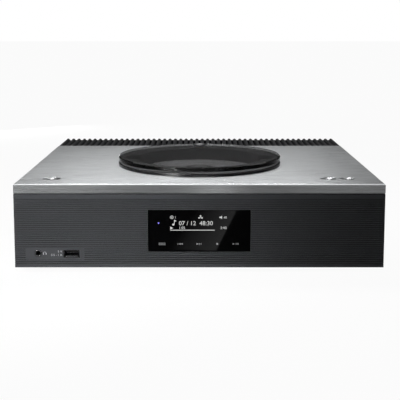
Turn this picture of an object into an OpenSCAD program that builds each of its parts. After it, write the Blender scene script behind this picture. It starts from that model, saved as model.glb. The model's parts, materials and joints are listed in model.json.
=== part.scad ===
// CD receiver: a low cabinet with a disc well in its top, under a clear lid that swings aside.
// Millimetres. +X is right, +Y is back and +Z is up. The origin is on the ground, in the middle
// of the width and in the middle of the depth with the rear terminals.

/* [Cabinet] */
// Width of the cabinet
body_w = 340; // [330:1:400]
// Depth from the front face to the back of the vent grille
body_d = 324; // [316:1:380]
// Height of the front, side and rear panels
panel_h = 68.5; // [67.5:0.5:90]
// Thickness of the front panel
front_t = 6; // [5:0.5:8]
// Thickness of the side panels
side_t = 3; // [2:0.5:4]
// Thickness of the rear panel
rear_t = 2; // [1.5:0.25:3]
// Thickness of the chassis floor
floor_t = 1.2; // [1:0.1:2]
// Dark seam between the panels and the top plate
seam_gap = 0.4; // [0.2:0.1:1]
// Width of the ledges on the side panels that carry the plate and the grille
ledge_w = 10; // [9:0.5:12]
// Thickness of those ledges
ledge_t = 2.5; // [2:0.25:4]
// Side of the screw blocks inside the panels
block_w = 10; // [8:0.5:10]
// Height of the screw blocks
block_h = 9; // [7:0.5:12]
// Distance of the first and last side block from the front and the back
block_edge = 62; // [55:1:80]
// Distance of the front panel's screw blocks from the sides
front_block_inset = 85; // [80:1:90]
// Number of air slots in the chassis floor
slot_count = 10; // [4:1:14]
// Width of an air slot
slot_w = 2.4; // [1.6:0.2:4]
// Length of an air slot
slot_len = 56; // [30:1:70]
// Distance between the air slots
slot_pitch = 9.4; // [6:0.2:10]
// Gap between pieces of the cabinet that lie side by side
case_gap = 0.2; // [0.1:0.05:0.4]

/* [Top plate] */
// Depth of the aluminium plate
plate_d = 256.5; // [250:0.5:262]
// Height of the plate's edge
plate_rim_h = 9.1; // [8.5:0.1:12]
// Thickness of the plate's rim
plate_rim_t = 3.5; // [2.5:0.25:4]
// Thickness of the plate's deck
plate_deck_t = 3; // [2.5:0.25:4]
// Bright chamfer along the plate's upper edges
plate_chamfer = 0.9; // [0.4:0.1:1.4]
// Fine chamfer along the plate's lower edges
plate_under_chamfer = 0.6; // [0.2:0.1:1]
// Radius of the screw bosses under the plate
plate_boss_r = 3.5; // [3:0.25:4]
// Distance of the outer plate screws from the front and back of the plate
plate_screw_edge = 20; // [15:1:30]

/* [Vent grille] */
// Number of fins
fin_count = 50; // [40:1:56]
// Thickness of a fin
fin_w = 4.3; // [3.5:0.1:4.8]
// Width of the cross bars that join the fins
bar_w = 4; // [3.5:0.25:6]
// Height of the front cross bar
front_bar_h = 5; // [4:0.25:6]
// Height of the middle cross bars
mid_bar_h = 3.5; // [3:0.25:5]
// Step from the fin tops down to the rear cross bar
rear_bar_drop = 1.8; // [1:0.1:3]
// Depth of the screw holes in the cross bars
bar_screw_depth = 2.8; // [2:0.1:3]

/* [Feet] */
// Height of the feet
foot_h = 6; // [5:0.5:12]
// Radius of a foot at the chassis
foot_r = 14; // [11:0.5:18]
// Radius of a foot at the ground
foot_base_r = 12.5; // [10:0.5:16]
// Distance of the feet from the sides
foot_inset = 32; // [24:1:45]
// Distance of the feet from the front and the back
foot_setback = 42; // [34:1:52]
// Depth of the screw recess in a foot
foot_recess = 3; // [2.5:0.25:4]
// Height of the threaded collars above the chassis floor
foot_collar_h = 4; // [3:0.5:5]

/* [Front panel] */
// Distance between the grooves
rib_pitch = 2; // [1.6:0.1:3]
// Width of a groove at the face
groove_w = 0.9; // [0.5:0.1:1.2]
// Depth of a groove
groove_depth = 0.5; // [0.2:0.1:1]
// How far each groove wall leans in
groove_slope = 0.2; // [0:0.05:0.25]
// Plain band above the grooves
band_top = 4.5; // [2:0.5:8]
// Plain band below the grooves
band_foot = 1.2; // [0.6:0.2:4]
// Width of the plain field around the front sockets
pad_w = 54; // [48:1:60]
// Height of the plain field around the front sockets
pad_h = 11; // [9:0.5:14]

/* [Display] */
// Width of the black window
window_w = 94; // [88:0.5:110]
// Height of the black window
window_h = 38.8; // [36:0.2:44]
// Thickness of the window
window_t = 2.5; // [1.5:0.25:3]
// How far the window lies behind the front face
window_recess = 0.5; // [0.3:0.1:1]
// Height of the window's lower edge above the foot of the panel
window_rise = 15; // [12:0.5:18]
// Gap around the window
window_gap = 0.3; // [0.1:0.05:0.5]
// Width of the ledge behind the window
window_ledge = 3; // [2:0.25:5]
// Width of the display module
display_w = 62; // [50:1:80]
// Height of the display module
display_h = 20; // [14:0.5:24]
// Height of the display's middle above the window's lower edge
display_rise = 25; // [22:0.5:25]
// Distance from the front panel to the front board
board_stand = 6; // [4:0.5:9]
// Width of the front board
front_board_w = 116; // [110:1:124]
// Height of the front board
front_board_h = 50; // [46:0.5:54]
// Height of the front board's lower edge above the chassis floor
front_board_rise = 8; // [6:0.5:12]

/* [Front sockets] */
// Distance of the headphone jack from the left side
jack_inset = 21.5; // [20:0.5:30]
// Height of the headphone jack's axis above its board
jack_rise = 3.9; // [3.8:0.1:6]
// Radius of the jack's barrel
jack_r = 3.2; // [3:0.1:3.6]
// Radius of the jack's hole
jack_bore_r = 1.78; // [1.76:0.01:1.85]
// Depth of the jack's hole
jack_depth = 14; // [13:0.5:15]
// Width of the jack's body
jack_body_w = 8; // [7.5:0.5:10]
// Length of the jack's body behind the panel
jack_body_d = 12; // [11:0.5:16]
// Distance of the USB socket from the left side
usb_inset = 52.5; // [46:0.5:60]
// Width of the USB opening
usb_open_w = 12.5; // [12.3:0.1:12.8]
// Height of the USB opening
usb_open_h = 5.1; // [5:0.05:5.4]
// Wall of the USB shell
usb_wall = 0.9; // [0.5:0.1:1.2]
// Length of the USB shell
usb_d = 14; // [13:0.5:18]
// Width of the USB tongue
usb_tongue_w = 11.1; // [10.8:0.1:11.4]
// Thickness of the USB tongue
usb_tongue_t = 1.8; // [1.6:0.1:2]
// Space above the USB tongue
usb_tongue_gap = 0.6; // [0.4:0.1:0.8]
// Distance of the tongue's tip behind the opening
usb_tongue_inset = 3; // [2:0.25:5]
// Gap between the sockets and the front panel
socket_gap = 0.2; // [0.1:0.05:0.4]
// Distance of the sockets' faces behind the front face
socket_recess = 0.2; // [0.1:0.05:0.4]
// Depth of the socket board
socket_board_d = 28; // [24:1:32]
// Margin of the socket board beside the sockets
socket_board_edge = 7; // [6:0.5:7.5]

/* [Buttons] */
// Radius of the power button
power_r = 8.1; // [7:0.1:9]
// Radius of the volume buttons
volume_r = 7; // [6:0.1:7.6]
// Distance of the power button from the left side
power_inset = 30.8; // [28:0.2:40]
// Distance of the volume up button from the right side
volume_inset = 30.4; // [28:0.2:40]
// Distance between the volume buttons
volume_pitch = 17.8; // [17.6:0.1:22]
// Distance of the buttons behind the front face
button_setback = 28.8; // [27:0.2:34]
// How far the buttons lie below the top of the plate
button_drop = 0.15; // [0:0.05:0.4]
// Gap around the buttons
button_gap = 0.3; // [0.2:0.05:0.5]
// Travel of the buttons
button_travel = 0.6; // [0.3:0.1:1]
// How far a button's flange reaches under the plate
button_flange = 1; // [0.6:0.1:1.2]
// Thickness of a button's flange
button_flange_t = 1.2; // [0.8:0.1:1.6]
// Clearance above a button's flange
button_flange_gap = 0.2; // [0.1:0.05:0.4]
// Depth of the dish in a button's face
dish_depth = 0.8; // [0.4:0.05:1]
// Width of the flat rim around the dish
dish_rim = 1.1; // [0.8:0.1:2]
// Radius of a button's stem
stem_r = 1.6; // [1.2:0.1:2]
// Gap around the stem in its switch
stem_gap = 0.3; // [0.3:0.05:0.5]
// How deep the stem reaches into its switch
stem_reach = 2; // [1.2:0.1:2.4]
// Height of a key switch
key_h = 4.5; // [4:0.1:6]
// Side of a key switch
key_w = 6.4; // [6:0.1:8]
// Distance from the button flange to the key switch
key_drop = 2.6; // [2:0.1:4]
// Half width of a key board beside its buttons
key_board_edge = 8; // [7:0.5:10]
// Distance of the key board's posts from the buttons
key_post_y = 13; // [12:0.25:15]
// Radius of the key board's posts
key_post_r = 2.5; // [2.2:0.1:3]

/* [Lid] */
// Radius of the lid
lid_r = 84.3; // [83.5:0.1:88]
// Thickness of the lid
lid_t = 4.6; // [3:0.1:6]
// Gap between the trim ring and the lid
lid_gap = 2; // [1.8:0.1:4]
// Chamfer on the lid's upper edge
lid_chamfer = 1; // [0.3:0.1:1.4]
// Chamfer on the lid's lower edge
lid_under_chamfer = 0.4; // [0.2:0.1:1]
// Radius of the pivot shaft
pivot_r = 3; // [2.5:0.1:3.2]
// Distance of the pivot axis in from the well's skirt
pivot_inset = 6; // [5.9:0.1:7]
// Radius of the collar under the lid
collar_r = 7; // [6.6:0.1:7.6]
// Radius of the pivot cap
cap_r = 7.8; // [6:0.1:8]
// Thickness of the pivot cap
cap_t = 0.4; // [0.3:0.1:1]
// Wall of the pivot bush
bush_wall = 1.55; // [1.2:0.05:1.6]
// Wall of the well's boss around the bush
pivot_boss_wall = 0.9; // [0.8:0.05:0.9]
// How far the bush reaches below the well's skirt
bush_drop = 4; // [3:0.25:5]
// Radius of the bush's flange
bush_flange_r = 5.7; // [5.2:0.1:5.8]
// Thickness of the bush's flange
bush_flange_t = 0.6; // [0.4:0.1:0.8]
// Running clearance of the pivot shaft, on the radius
pivot_gap = 0.05; // [0.02:0.01:0.1]
// Gap above and below the bush
pivot_float = 0.3; // [0.3:0.05:0.4]
// Thickness of the retaining clip
clip_t = 0.8; // [0.6:0.1:1.2]
// Radius of the retaining clip
clip_r = 5.2; // [4.5:0.1:5.5]
// Thickness of the stop arm
arm_t = 3; // [2:0.25:4]
// Width of the stop arm
arm_w = 4; // [3:0.25:4]
// Length of the stop arm
arm_len = 15.5; // [15:0.25:17]
// Radius of the stop arm's hub
arm_hub_r = 5.5; // [5:0.1:6]
// Distance of the stop pins from the pivot
stop_r = 13; // [12.5:0.1:13.2]
// Radius of the stop pins
stop_pin_r = 1.5; // [1.2:0.1:1.6]
// Angle kept free between the closed arm and its stop
stop_angle = 1; // [0.5:0.1:1]

/* [Disc well] */
// Distance of the well's middle behind the front face
well_setback = 121.4; // [120:0.2:130]
// Height of the trim ring above the plate
ring_h = 3; // [2.4:0.1:4]
// Wall of the trim ring outside the well's flange
ring_wall = 0.7; // [0.5:0.1:1]
// Chamfer on the trim ring
ring_chamfer = 0.6; // [0.3:0.1:0.6]
// Width of the finger notch in the trim ring
notch_w = 16; // [12:0.5:24]
// Height of the finger notch
notch_h = 2.4; // [1.5:0.1:2.4]
// Depth of the finger notch
notch_d = 1.4; // [0.8:0.1:1.4]
// Gap between the ring and the well
ring_gap = 0.2; // [0.1:0.05:0.3]
// Width of the flange by which the well hangs on the plate
well_flange_w = 1.4; // [1:0.1:1.6]
// Thickness of that flange
well_flange_t = 1; // [0.8:0.1:1.2]
// Gap between the well and the hole in the plate
well_gap = 0.4; // [0.3:0.05:0.5]
// How far the well's rim lies below the trim ring
well_drop = 0.5; // [0.3:0.1:0.8]
// Thickness of the well's rim
well_rim_t = 2; // [1.5:0.1:2.5]
// Thickness of the well's skirt
skirt_t = 2; // [1.5:0.1:2.5]
// Height of the skirt below the plate's top
skirt_h = 8; // [6:0.25:9]
// Radius of the disc bed
bed_r = 61.5; // [61:0.1:62.5]
// Radius of the well's mouth
mouth_r = 65; // [64:0.1:66]
// Depth of the disc bed below the plate's top
bed_depth = 9.4; // [8.8:0.1:9.8]
// Thickness of the disc bed
bed_t = 2; // [1.6:0.1:2.4]
// Wall of the well
well_wall = 2.2; // [1.8:0.1:2.6]
// Half width of the pickup slot
slot_half_w = 8; // [7:0.25:10]
// Radius of the finger scoops at the sides
scoop_r = 14; // [10:0.5:18]
// Distance of the scoops' middles from the well's middle
scoop_x = 64; // [62:0.5:66]

/* [Disc drive] */
// Radius of the turntable
turntable_r = 16; // [14:0.25:16]
// Thickness of the turntable
turntable_t = 1.2; // [1:0.1:1.6]
// Height of the turntable's face above the disc bed
turntable_lift = 0.8; // [0.5:0.1:1.2]
// Gap around the turntable in the disc bed
turntable_gap = 2; // [1:0.25:2.5]
// Radius of the hub that centres the disc
hub_r = 7.4; // [7.3:0.02:7.46]
// Height of the hub's straight part
hub_h = 1.8; // [1.5:0.1:2]
// Height of the hub's tapered tip
hub_tip = 1; // [0.5:0.1:1.2]
// Thickness of the rubber pad
pad_t = 0.6; // [0.4:0.1:1]
// Inner radius of the rubber pad
pad_in_r = 10.5; // [9:0.25:12]
// Width of the rubber pad
pad_ring_w = 4.8; // [3:0.2:5]
// Radius of the spindle shaft
spindle_r = 1; // [0.8:0.05:1.2]
// Running clearance of the spindle and motor shafts, on the radius
shaft_gap = 0.05; // [0.02:0.01:0.1]
// Radius of the turntable's boss
boss_r = 3.5; // [3:0.1:4]
// Radius of the spindle motor
motor_r = 11.5; // [10:0.25:11.5]
// Height of the motors below the drive chassis
motor_h = 12; // [10:0.5:16]
// Floor of the motors below their shafts
motor_floor = 1; // [0.6:0.1:2]
// Radius of the motor's nose
nose_r = 4; // [3:0.1:5]
// How far the noses stand above the drive chassis
nose_h = 0.3; // [0.2:0.05:0.3]
// Distance from the disc bed down to the drive chassis
drive_gap = 3.8; // [3.6:0.1:5]
// Thickness of the drive chassis
drive_t = 2; // [1.5:0.1:2.5]
// Reach of the drive chassis to the left
drive_left = 50; // [49:0.5:54]
// Reach of the drive chassis to the front and the back
drive_half_d = 43; // [42:0.5:45]
// Distance of the left grommets from the spindle, to the left
grommet_left = 42; // [40:0.5:43]
// Distance of the left grommets from the spindle, to the front and the back
grommet_half = 34; // [32:0.5:36]
// Distance of the right grommet from the spindle, to the right
grommet_right = 46; // [44:0.5:47]
// Distance of the rear grommet from the spindle, to the back
grommet_back = 50; // [49:0.5:51]
// Radius of the damper grommets
grommet_r = 5; // [4.5:0.1:5.4]
// Radius of a grommet's neck
grommet_neck_r = 3.6; // [3.2:0.1:3.8]
// Height of a grommet above and below the chassis
grommet_lip = 1.5; // [1:0.1:2]
// Gap around the necks and noses in the drive chassis
seat_gap = 0.1; // [0.05:0.01:0.2]

/* [Pickup] */
// Distance of the lens from the spindle at the innermost track
lens_x = 24; // [23.6:0.1:26]
// Travel of the sled
sled_travel = 33; // [32:0.5:33]
// Half length of the sled
sled_half_x = 11; // [10:0.25:11]
// Height of the sled
sled_h = 6.5; // [6:0.25:8]
// Gap between the sled and the drive chassis
sled_gap = 0.5; // [0.4:0.05:0.8]
// Distance of each guide rail from the drive's middle
rail_y = 20; // [19:0.25:21]
// Radius of the main guide rail
rail_r = 1.5; // [1.2:0.1:1.6]
// Radius of the second guide rail
side_rail_r = 1.25; // [1:0.05:1.4]
// Distance of the rails below the drive chassis
rail_drop = 4; // [3.6:0.1:4.4]
// Running clearance of the sled on its rails, on the radius
rail_gap = 0.05; // [0.02:0.01:0.1]
// Width of the sled outside its rails
sled_edge = 3.5; // [3.2:0.1:4]
// Half width of the rail holders
holder_w = 3; // [2.6:0.1:3.2]
// Thickness of the rail holders
holder_t = 4; // [3:0.25:5]
// Gap between the sled and the rail holders at the ends of its travel
holder_gap = 4; // [3:0.25:6]
// Half width of the sled's tower
tower_half_w = 9; // [8:0.25:10]
// Half length of the sled's tower
tower_half_x = 8; // [7:0.25:8.5]
// Height of the tower above the drive chassis
tower_h = 1.5; // [1:0.1:1.8]
// Gap around the tower in the drive chassis
tower_gap = 2; // [1.5:0.25:2.5]
// Half length of the lens holder
lens_holder_x = 4.5; // [4:0.1:4.5]
// Half width of the lens holder
lens_holder_y = 6; // [5:0.25:6.5]
// Height of the lens holder
lens_holder_h = 2.6; // [2:0.1:3]
// Height at which the lens holder floats over the tower
lens_float = 0.8; // [0.7:0.05:1]
// Floor of the lens holder below the lens
lens_floor = 0.5; // [0.4:0.1:1]
// Radius of the objective lens
lens_r = 2.2; // [1.8:0.1:2.6]
// How far the lens stands out of its holder
lens_rise = 0.4; // [0.2:0.1:0.5]
// Sphere radius of the lens face
lens_dome = 6; // [5:0.25:9]

/* [Feed gears] */
// Tooth module of the rack and the feed pinion
rack_module = 0.6; // [0.5:0.05:0.6]
// Teeth of the feed pinion
feed_teeth = 14; // [13:1:16]
// Tooth module of the feed wheel and the motor pinion
wheel_module = 0.5; // [0.4:0.02:0.52]
// Teeth of the feed wheel
wheel_teeth = 48; // [44:1:50]
// Teeth of the motor pinion
motor_teeth = 12; // [11:1:14]
// Height of a tooth outside the pitch line, in modules
addendum = 0.8; // [0.7:0.05:0.85]
// Depth of a tooth inside the pitch line, in modules
dedendum = 1.15; // [1.1:0.05:1.25]
// Pressure angle of the teeth
pressure = 20; // [18:0.5:22]
// Thinning of each tooth for play
tooth_play = 0.12; // [0.08:0.01:0.16]
// Distance of the feed pinion from the spindle along the sled's travel
feed_x = 40; // [39:0.5:42]
// Direction from the feed wheel to the motor pinion
motor_angle = 150; // [140:1:155]
// Thickness of the rack's back
rack_t = 2.4; // [2:0.1:3]
// Height of the rack
rack_h = 4; // [3:0.25:5]
// Teeth of the rack beyond the mesh at each end of the travel
rack_spare = 2; // [2:1:3]
// Thickness of the wheel and the motor pinion
wheel_t = 1.9; // [1.5:0.1:2.2]
// Gap between the wheel and the drive chassis
wheel_gap = 0.4; // [0.3:0.05:0.6]
// Radius of the feed shaft
feed_shaft_r = 1.5; // [1.2:0.1:1.8]
// Radius of the feed motor
feed_motor_r = 8; // [7:0.25:8]
// Radius of the feed motor's nose
feed_nose_r = 2.4; // [2:0.1:2.6]
// Radius of the feed motor's shaft
motor_shaft_r = 0.75; // [0.6:0.05:0.9]

/* [Boards] */
// Height of the board studs on the chassis
stud_h = 6.6; // [6.5:0.1:9]
// Radius of the board studs
stud_r = 3; // [2.6:0.1:3.4]
// Thickness of the circuit boards
board_t = 1.6; // [1.2:0.1:2]
// Distance of the boards from the side panels
board_side = 11; // [10.5:0.5:14]
// Distance of the boards from the rear panel
board_back = 4; // [3:0.5:6]
// Gap between the main board and the power board
board_gap = 12; // [9:0.5:16]
// Depth of the main board
main_board_d = 126; // [116:1:128]
// Width of the power board
power_board_w = 84; // [82:1:86]
// Depth of the power board
power_board_d = 210; // [200:1:215]
// Distance of the board screws from the boards' corners
board_screw_edge = 6; // [5:0.25:8]
// Width of the transformer
transformer_w = 46; // [40:1:52]
// Depth of the transformer
transformer_d = 40; // [34:1:46]
// Height of the transformer
transformer_h = 34; // [28:1:36]
// Radius of the reservoir capacitors
cap_can_r = 9; // [7:0.5:10]
// Height of the reservoir capacitors
cap_can_h = 30; // [24:1:34]
// Gap between neighbouring capacitors
can_gap = 4; // [2:0.5:6]
// Side of the main chip
chip_w = 22; // [14:1:26]
// Thickness of the main chip
chip_t = 2.2; // [1.4:0.2:3]
// Width of the heat sink
sink_w = 90; // [70:1:100]
// Depth of the heat sink
sink_d = 30; // [24:1:36]
// Height of the heat sink
sink_h = 44; // [36:1:48]
// Number of heat sink fins
sink_fins = 12; // [8:1:14]
// Thickness of the heat sink's base and fins
sink_t = 2.4; // [1.6:0.2:3]

/* [Rear sockets] */
// Reach of the speaker terminals behind the grille
terminal_reach = 17; // [16:0.5:20]
// Height of the speaker terminals above the chassis floor
post_rise = 32; // [22:0.5:40]
// Distance of the first speaker terminal from the left side
post_inset = 72; // [70:0.5:74]
// Distance between the speaker terminals
post_pitch = 20; // [19:0.25:21]
// Radius of a terminal's stud
post_r = 3.2; // [3:0.1:3.4]
// Radius of the plug hole in a stud
plug_r = 2.05; // [2.02:0.01:2.1]
// Depth of the plug hole
plug_depth = 12; // [10:0.5:13]
// Radius of a terminal's flange
post_flange_r = 8; // [7:0.25:8.5]
// Thickness of a terminal's flange
post_flange_t = 2.5; // [2:0.25:3]
// How far a stud's tip lies inside its closed knob
post_tip = 2; // [1:0.25:4]
// Length of a terminal inside the cabinet
post_tail = 8; // [6:0.5:10]
// Radius of a terminal's nut
post_nut_r = 6; // [5.5:0.25:7]
// Thickness of a terminal's nut
post_nut_t = 3; // [2:0.25:4]
// Radius of a knob
knob_r = 7; // [6:0.1:7.5]
// Running clearance of the knobs on their studs, on the radius
knob_gap = 0.08; // [0.04:0.01:0.1]
// Number of flutes around a knob
flute_count = 12; // [8:1:16]
// Radius of a flute
flute_r = 1; // [0.6:0.1:1.2]
// Radius of a clamp washer
washer_r = 6.5; // [5.5:0.1:6.8]
// Thickness of a clamp washer
washer_t = 1; // [0.8:0.1:1.4]
// Gap between a flange, its washer and its knob
washer_gap = 0.1; // [0.05:0.01:0.2]
// Number of phono socket columns
phono_columns = 3; // [1:1:3]
// Distance between the phono sockets
phono_pitch = 16; // [15:0.5:17]
// Distance of the first phono column from the right side
phono_inset = 150; // [146:1:152]
// Height of the lower phono sockets above their board
phono_rise = 9; // [8:0.5:11]
// Radius of a phono socket's barrel
phono_r = 4.15; // [4.1:0.05:4.25]
// Length of a phono socket's barrel outside the panel
phono_len = 9; // [8:0.5:10]
// Radius of a phono socket's hole
phono_bore_r = 1.65; // [1.6:0.05:1.75]
// Depth of a phono socket's hole
phono_depth = 10; // [9:0.5:12]
// Margin of the phono block around its sockets
phono_edge = 7.5; // [6:0.5:8]
// Depth of the phono block inside the panel
phono_block_d = 11; // [9:0.5:14]
// Distance of the network socket from the right side
lan_inset = 82; // [70:1:88]
// Width of the network socket
lan_w = 16; // [15:0.5:18]
// Height of the network socket
lan_h = 13.4; // [12.5:0.2:15]
// Length of the network socket inside the panel
lan_d = 16; // [15:0.5:20]
// Width of the network socket's opening
lan_open_w = 11.8; // [11.6:0.1:12]
// Height of the network socket's opening
lan_open_h = 8.4; // [8.2:0.1:8.6]
// Depth of the network socket's opening
lan_open_d = 11.5; // [11:0.25:12.5]
// Height of the network socket's opening above its board
lan_open_rise = 2; // [1.5:0.1:3]
// How far the network socket stands out of the panel
lan_out = 0.6; // [0.3:0.1:1]
// Distance of the aerial socket from the right side
aerial_inset = 36; // [30:0.5:44]
// Height of the aerial socket above its board
aerial_rise = 9; // [8:0.5:12]
// Radius of the aerial socket's barrel
aerial_r = 4.7; // [4.6:0.05:4.8]
// Length of the aerial socket's barrel outside the panel
aerial_len = 10; // [9:0.5:12]
// Radius of the aerial socket's hole
aerial_bore_r = 0.9; // [0.8:0.05:1]
// Depth of the aerial socket's hole
aerial_depth = 10; // [8:0.5:12]
// Side of the aerial socket's block
aerial_block_w = 14; // [12:0.5:16]
// Distance of the mains inlet from the left side
inlet_inset = 34; // [30:0.5:38]
// Height of the mains inlet above the chassis floor
inlet_rise = 24; // [18:0.5:32]
// Width of the mains inlet's flange
inlet_w = 30; // [26:0.5:34]
// Height of the mains inlet's flange
inlet_h = 22; // [18:0.5:26]
// Thickness of the mains inlet's flange
inlet_t = 2; // [1.5:0.25:3]
// Margin of the flange around the inlet's body
inlet_edge = 4; // [3:0.25:5]
// Depth of the mains inlet's body
inlet_d = 20; // [18:0.5:24]
// Width of the recess for the mains plug
recess_w = 15; // [14.6:0.1:15.6]
// Height of the recess for the mains plug
recess_h = 8.4; // [8:0.1:9]
// Depth of the recess for the mains plug
recess_d = 14; // [12:0.5:16]
// Radius of the inlet's pins
pin_r = 1.2; // [1:0.05:1.3]
// Distance between the inlet's pins
pin_pitch = 8.6; // [8.4:0.1:8.8]
// Length of the inlet's pins
pin_len = 9; // [8:0.5:10]
// Step of the round sockets' collars inside the rear panel
collar_step = 0.5; // [0.4:0.05:0.8]
// Gap around the rear sockets in the panel
rear_gap = 0.3; // [0.2:0.05:0.4]

/* [Screws] */
// Radius of the screws
screw_r = 1.3; // [1.1:0.05:1.5]
// Radius of the screw heads
head_r = 2.6; // [2.2:0.1:2.8]
// Height of the screw heads
head_h = 1.6; // [1.2:0.1:1.8]
// Gap around a screw in a hole that it passes
hole_gap = 0.2; // [0.1:0.05:0.3]
// Gap around a screw in its thread
thread_gap = 0.05; // [0.02:0.01:0.1]
// Length of screw in the blocks, bosses and studs
grip = 4.5; // [3.5:0.25:4.8]
// Length of the drive screws in the well's bosses
well_grip = 2.6; // [2:0.1:3]
// Length of the rear screws past the chassis flange
screw_tip = 1; // [0.5:0.1:1.5]
// Distance of the outer rear screws from the sides
rear_screw_inset = 16; // [12:0.5:18]
// Place of the middle rear screw across the panel
rear_screw_mid = -12; // [-16:0.5:-8]

/* [Hidden] */
$fn = 64;
over = 1;

// Cabinet levels and faces
half_w = body_w / 2;
front_y = -(body_d + terminal_reach) / 2;
rear_y = front_y + body_d;
panel_back_y = front_y + front_t;
rear_in_y = rear_y - rear_t;
side_in_x = half_w - side_t;
floor_z = foot_h;
floor_top = floor_z + floor_t;
panel_top = floor_z + panel_h;
rim_z = panel_top + seam_gap;
plate_z = rim_z + plate_rim_h;
deck_z = plate_z - plate_deck_t;
plate_back_y = front_y + plate_d;
ledge_x = side_in_x - ledge_w / 2;
block_x = side_in_x - block_w / 2;
front_block_x = half_w - front_block_inset;
front_block_y = panel_back_y + block_w / 2;
block_ys = [front_y + block_edge, front_y + body_d / 2, rear_y - block_edge];
hole_r = screw_r + hole_gap;
thread_r = screw_r + thread_gap;

// Vent grille
grille_y = plate_back_y + case_gap;
fin_pitch = (body_w - fin_w) / (fin_count - 1);
bar_pitch = (rear_y - bar_w - grille_y) / 3;
bar_ys = [grille_y, grille_y + bar_pitch, grille_y + 2 * bar_pitch];
grille_screw_ys = [bar_ys[0] + bar_w / 2, bar_ys[2] + bar_w / 2];

// Window and front board
window_z = floor_z + window_rise;
window_y = front_y + window_recess;
window_back_y = window_y + window_t;
display_z = window_z + display_rise;
front_board_y = panel_back_y + board_stand;
front_board_z = floor_top + front_board_rise;
front_screw_x = front_board_w / 2 - board_screw_edge;
front_screw_zs = [front_board_z + board_screw_edge, front_board_z + front_board_h - board_screw_edge];

// Boards on the chassis
board_z = floor_top + stud_h;
board_top = board_z + board_t;
power_x0 = -side_in_x + board_side;
power_x1 = power_x0 + power_board_w;
main_x0 = power_x1 + board_gap;
main_x1 = side_in_x - board_side;
main_y1 = rear_in_y - board_back;
main_y0 = main_y1 - main_board_d;
power_y1 = rear_in_y - board_back - inlet_d;
power_y0 = power_y1 - power_board_d;

// Front sockets
jack_x = -half_w + jack_inset;
jack_z = board_top + jack_rise;
usb_x = -half_w + usb_inset;
usb_w = usb_open_w + 2 * usb_wall;
usb_h = usb_open_h + 2 * usb_wall;
usb_z = board_top + usb_h / 2;
socket_y = front_y + socket_recess;
socket_x0 = jack_x - socket_board_edge;
socket_x1 = usb_x + usb_w / 2 + socket_board_edge;
socket_y0 = panel_back_y + case_gap;
socket_y1 = socket_y0 + socket_board_d;
socket_mid_x = (jack_x + usb_x) / 2;

// Screw places on the boards: two corners in x and two in y
main_xs = [main_x0 + board_screw_edge, main_x1 - board_screw_edge];
main_ys = [main_y0 + board_screw_edge, main_y1 - phono_block_d - board_screw_edge];
power_xs = [power_x0 + board_screw_edge, power_x1 - board_screw_edge];
power_ys = [power_y0 + board_screw_edge, power_y1 - board_screw_edge];
socket_xs = [socket_x0 + board_screw_edge, socket_x1 - board_screw_edge];
socket_ys = [socket_y1 - board_screw_edge];
board_spots = concat(
  [for (x = main_xs, y = main_ys) [x, y]],
  [for (x = power_xs, y = power_ys) [x, y]],
  [for (x = socket_xs, y = socket_ys) [x, y]]
);

// Buttons
power_x = -half_w + power_inset;
volume_up_x = half_w - volume_inset;
volume_down_x = volume_up_x - volume_pitch;
volume_mid_x = (volume_up_x + volume_down_x) / 2;
button_y = front_y + button_setback;
button_top = plate_z - button_drop;
flange_top = deck_z - button_flange_gap;
flange_z = flange_top - button_flange_t;
key_top = flange_z - key_drop;
key_board_top = key_top - key_h;
key_board_z = key_board_top - board_t;
stem_z = key_top - stem_reach;
key_spots = [[power_x, button_y], [volume_down_x, button_y], [volume_up_x, button_y]];
key_post_xs = [power_x, volume_mid_x];

// Well and lid
well_y = front_y + well_setback;
ring_top = plate_z + ring_h;
lid_z = ring_top + lid_gap;
lid_top = lid_z + lid_t;
flange_r = lid_r - ring_wall - ring_gap;
skirt_r = flange_r - well_flange_w;
rim_top = ring_top - well_drop;
rim_under = rim_top - well_rim_t;
bed_z = plate_z - bed_depth;
bed_under = bed_z - bed_t;
skirt_z = plate_z - skirt_h;
pivot_y = well_y + skirt_r - pivot_inset;
bush_r = pivot_r + pivot_gap + bush_wall;
pivot_boss_r = bush_r + seat_gap + pivot_boss_wall;
bush_z = skirt_z - bush_drop;
bush_flange_top = rim_top + bush_flange_t;
collar_z = bush_flange_top + pivot_float;
clip_top = bush_z - pivot_float;
clip_z = clip_top - clip_t;
arm_top = clip_z - pivot_float;
arm_z = arm_top - arm_t;
stop_half = asin((arm_w / 2 + stop_pin_r) / stop_r);
arm_angle = 180 + stop_half + stop_angle;

// Drive levels
drive_top = bed_under - drive_gap;
drive_z = drive_top - drive_t;
turntable_top = bed_z + turntable_lift;
turntable_z = turntable_top - turntable_t;
hub_top = turntable_top + hub_h + hub_tip;
nose_top = drive_top + nose_h;
boss_z = nose_top + pivot_float;
motor_z = drive_z - motor_h;
rail_z = drive_z - rail_drop;
sled_top = drive_z - sled_gap;
sled_z = sled_top - sled_h;
tower_top = drive_top + tower_h;
holder_z = tower_top + lens_float;
holder_top = holder_z + lens_holder_h;
sled_x0 = lens_x - sled_half_x;
sled_x1 = lens_x + sled_half_x;
rail_x0 = sled_x0 - holder_gap - holder_t;
rail_x1 = sled_x1 + sled_travel + holder_gap + holder_t;
grommet_top = drive_top + grommet_lip;
grommet_z = drive_z - grommet_lip;
grommet_spots = [
  [-grommet_left, -grommet_half], [-grommet_left, grommet_half],
  [grommet_right, -grommet_half], [0, grommet_back]
];

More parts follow.
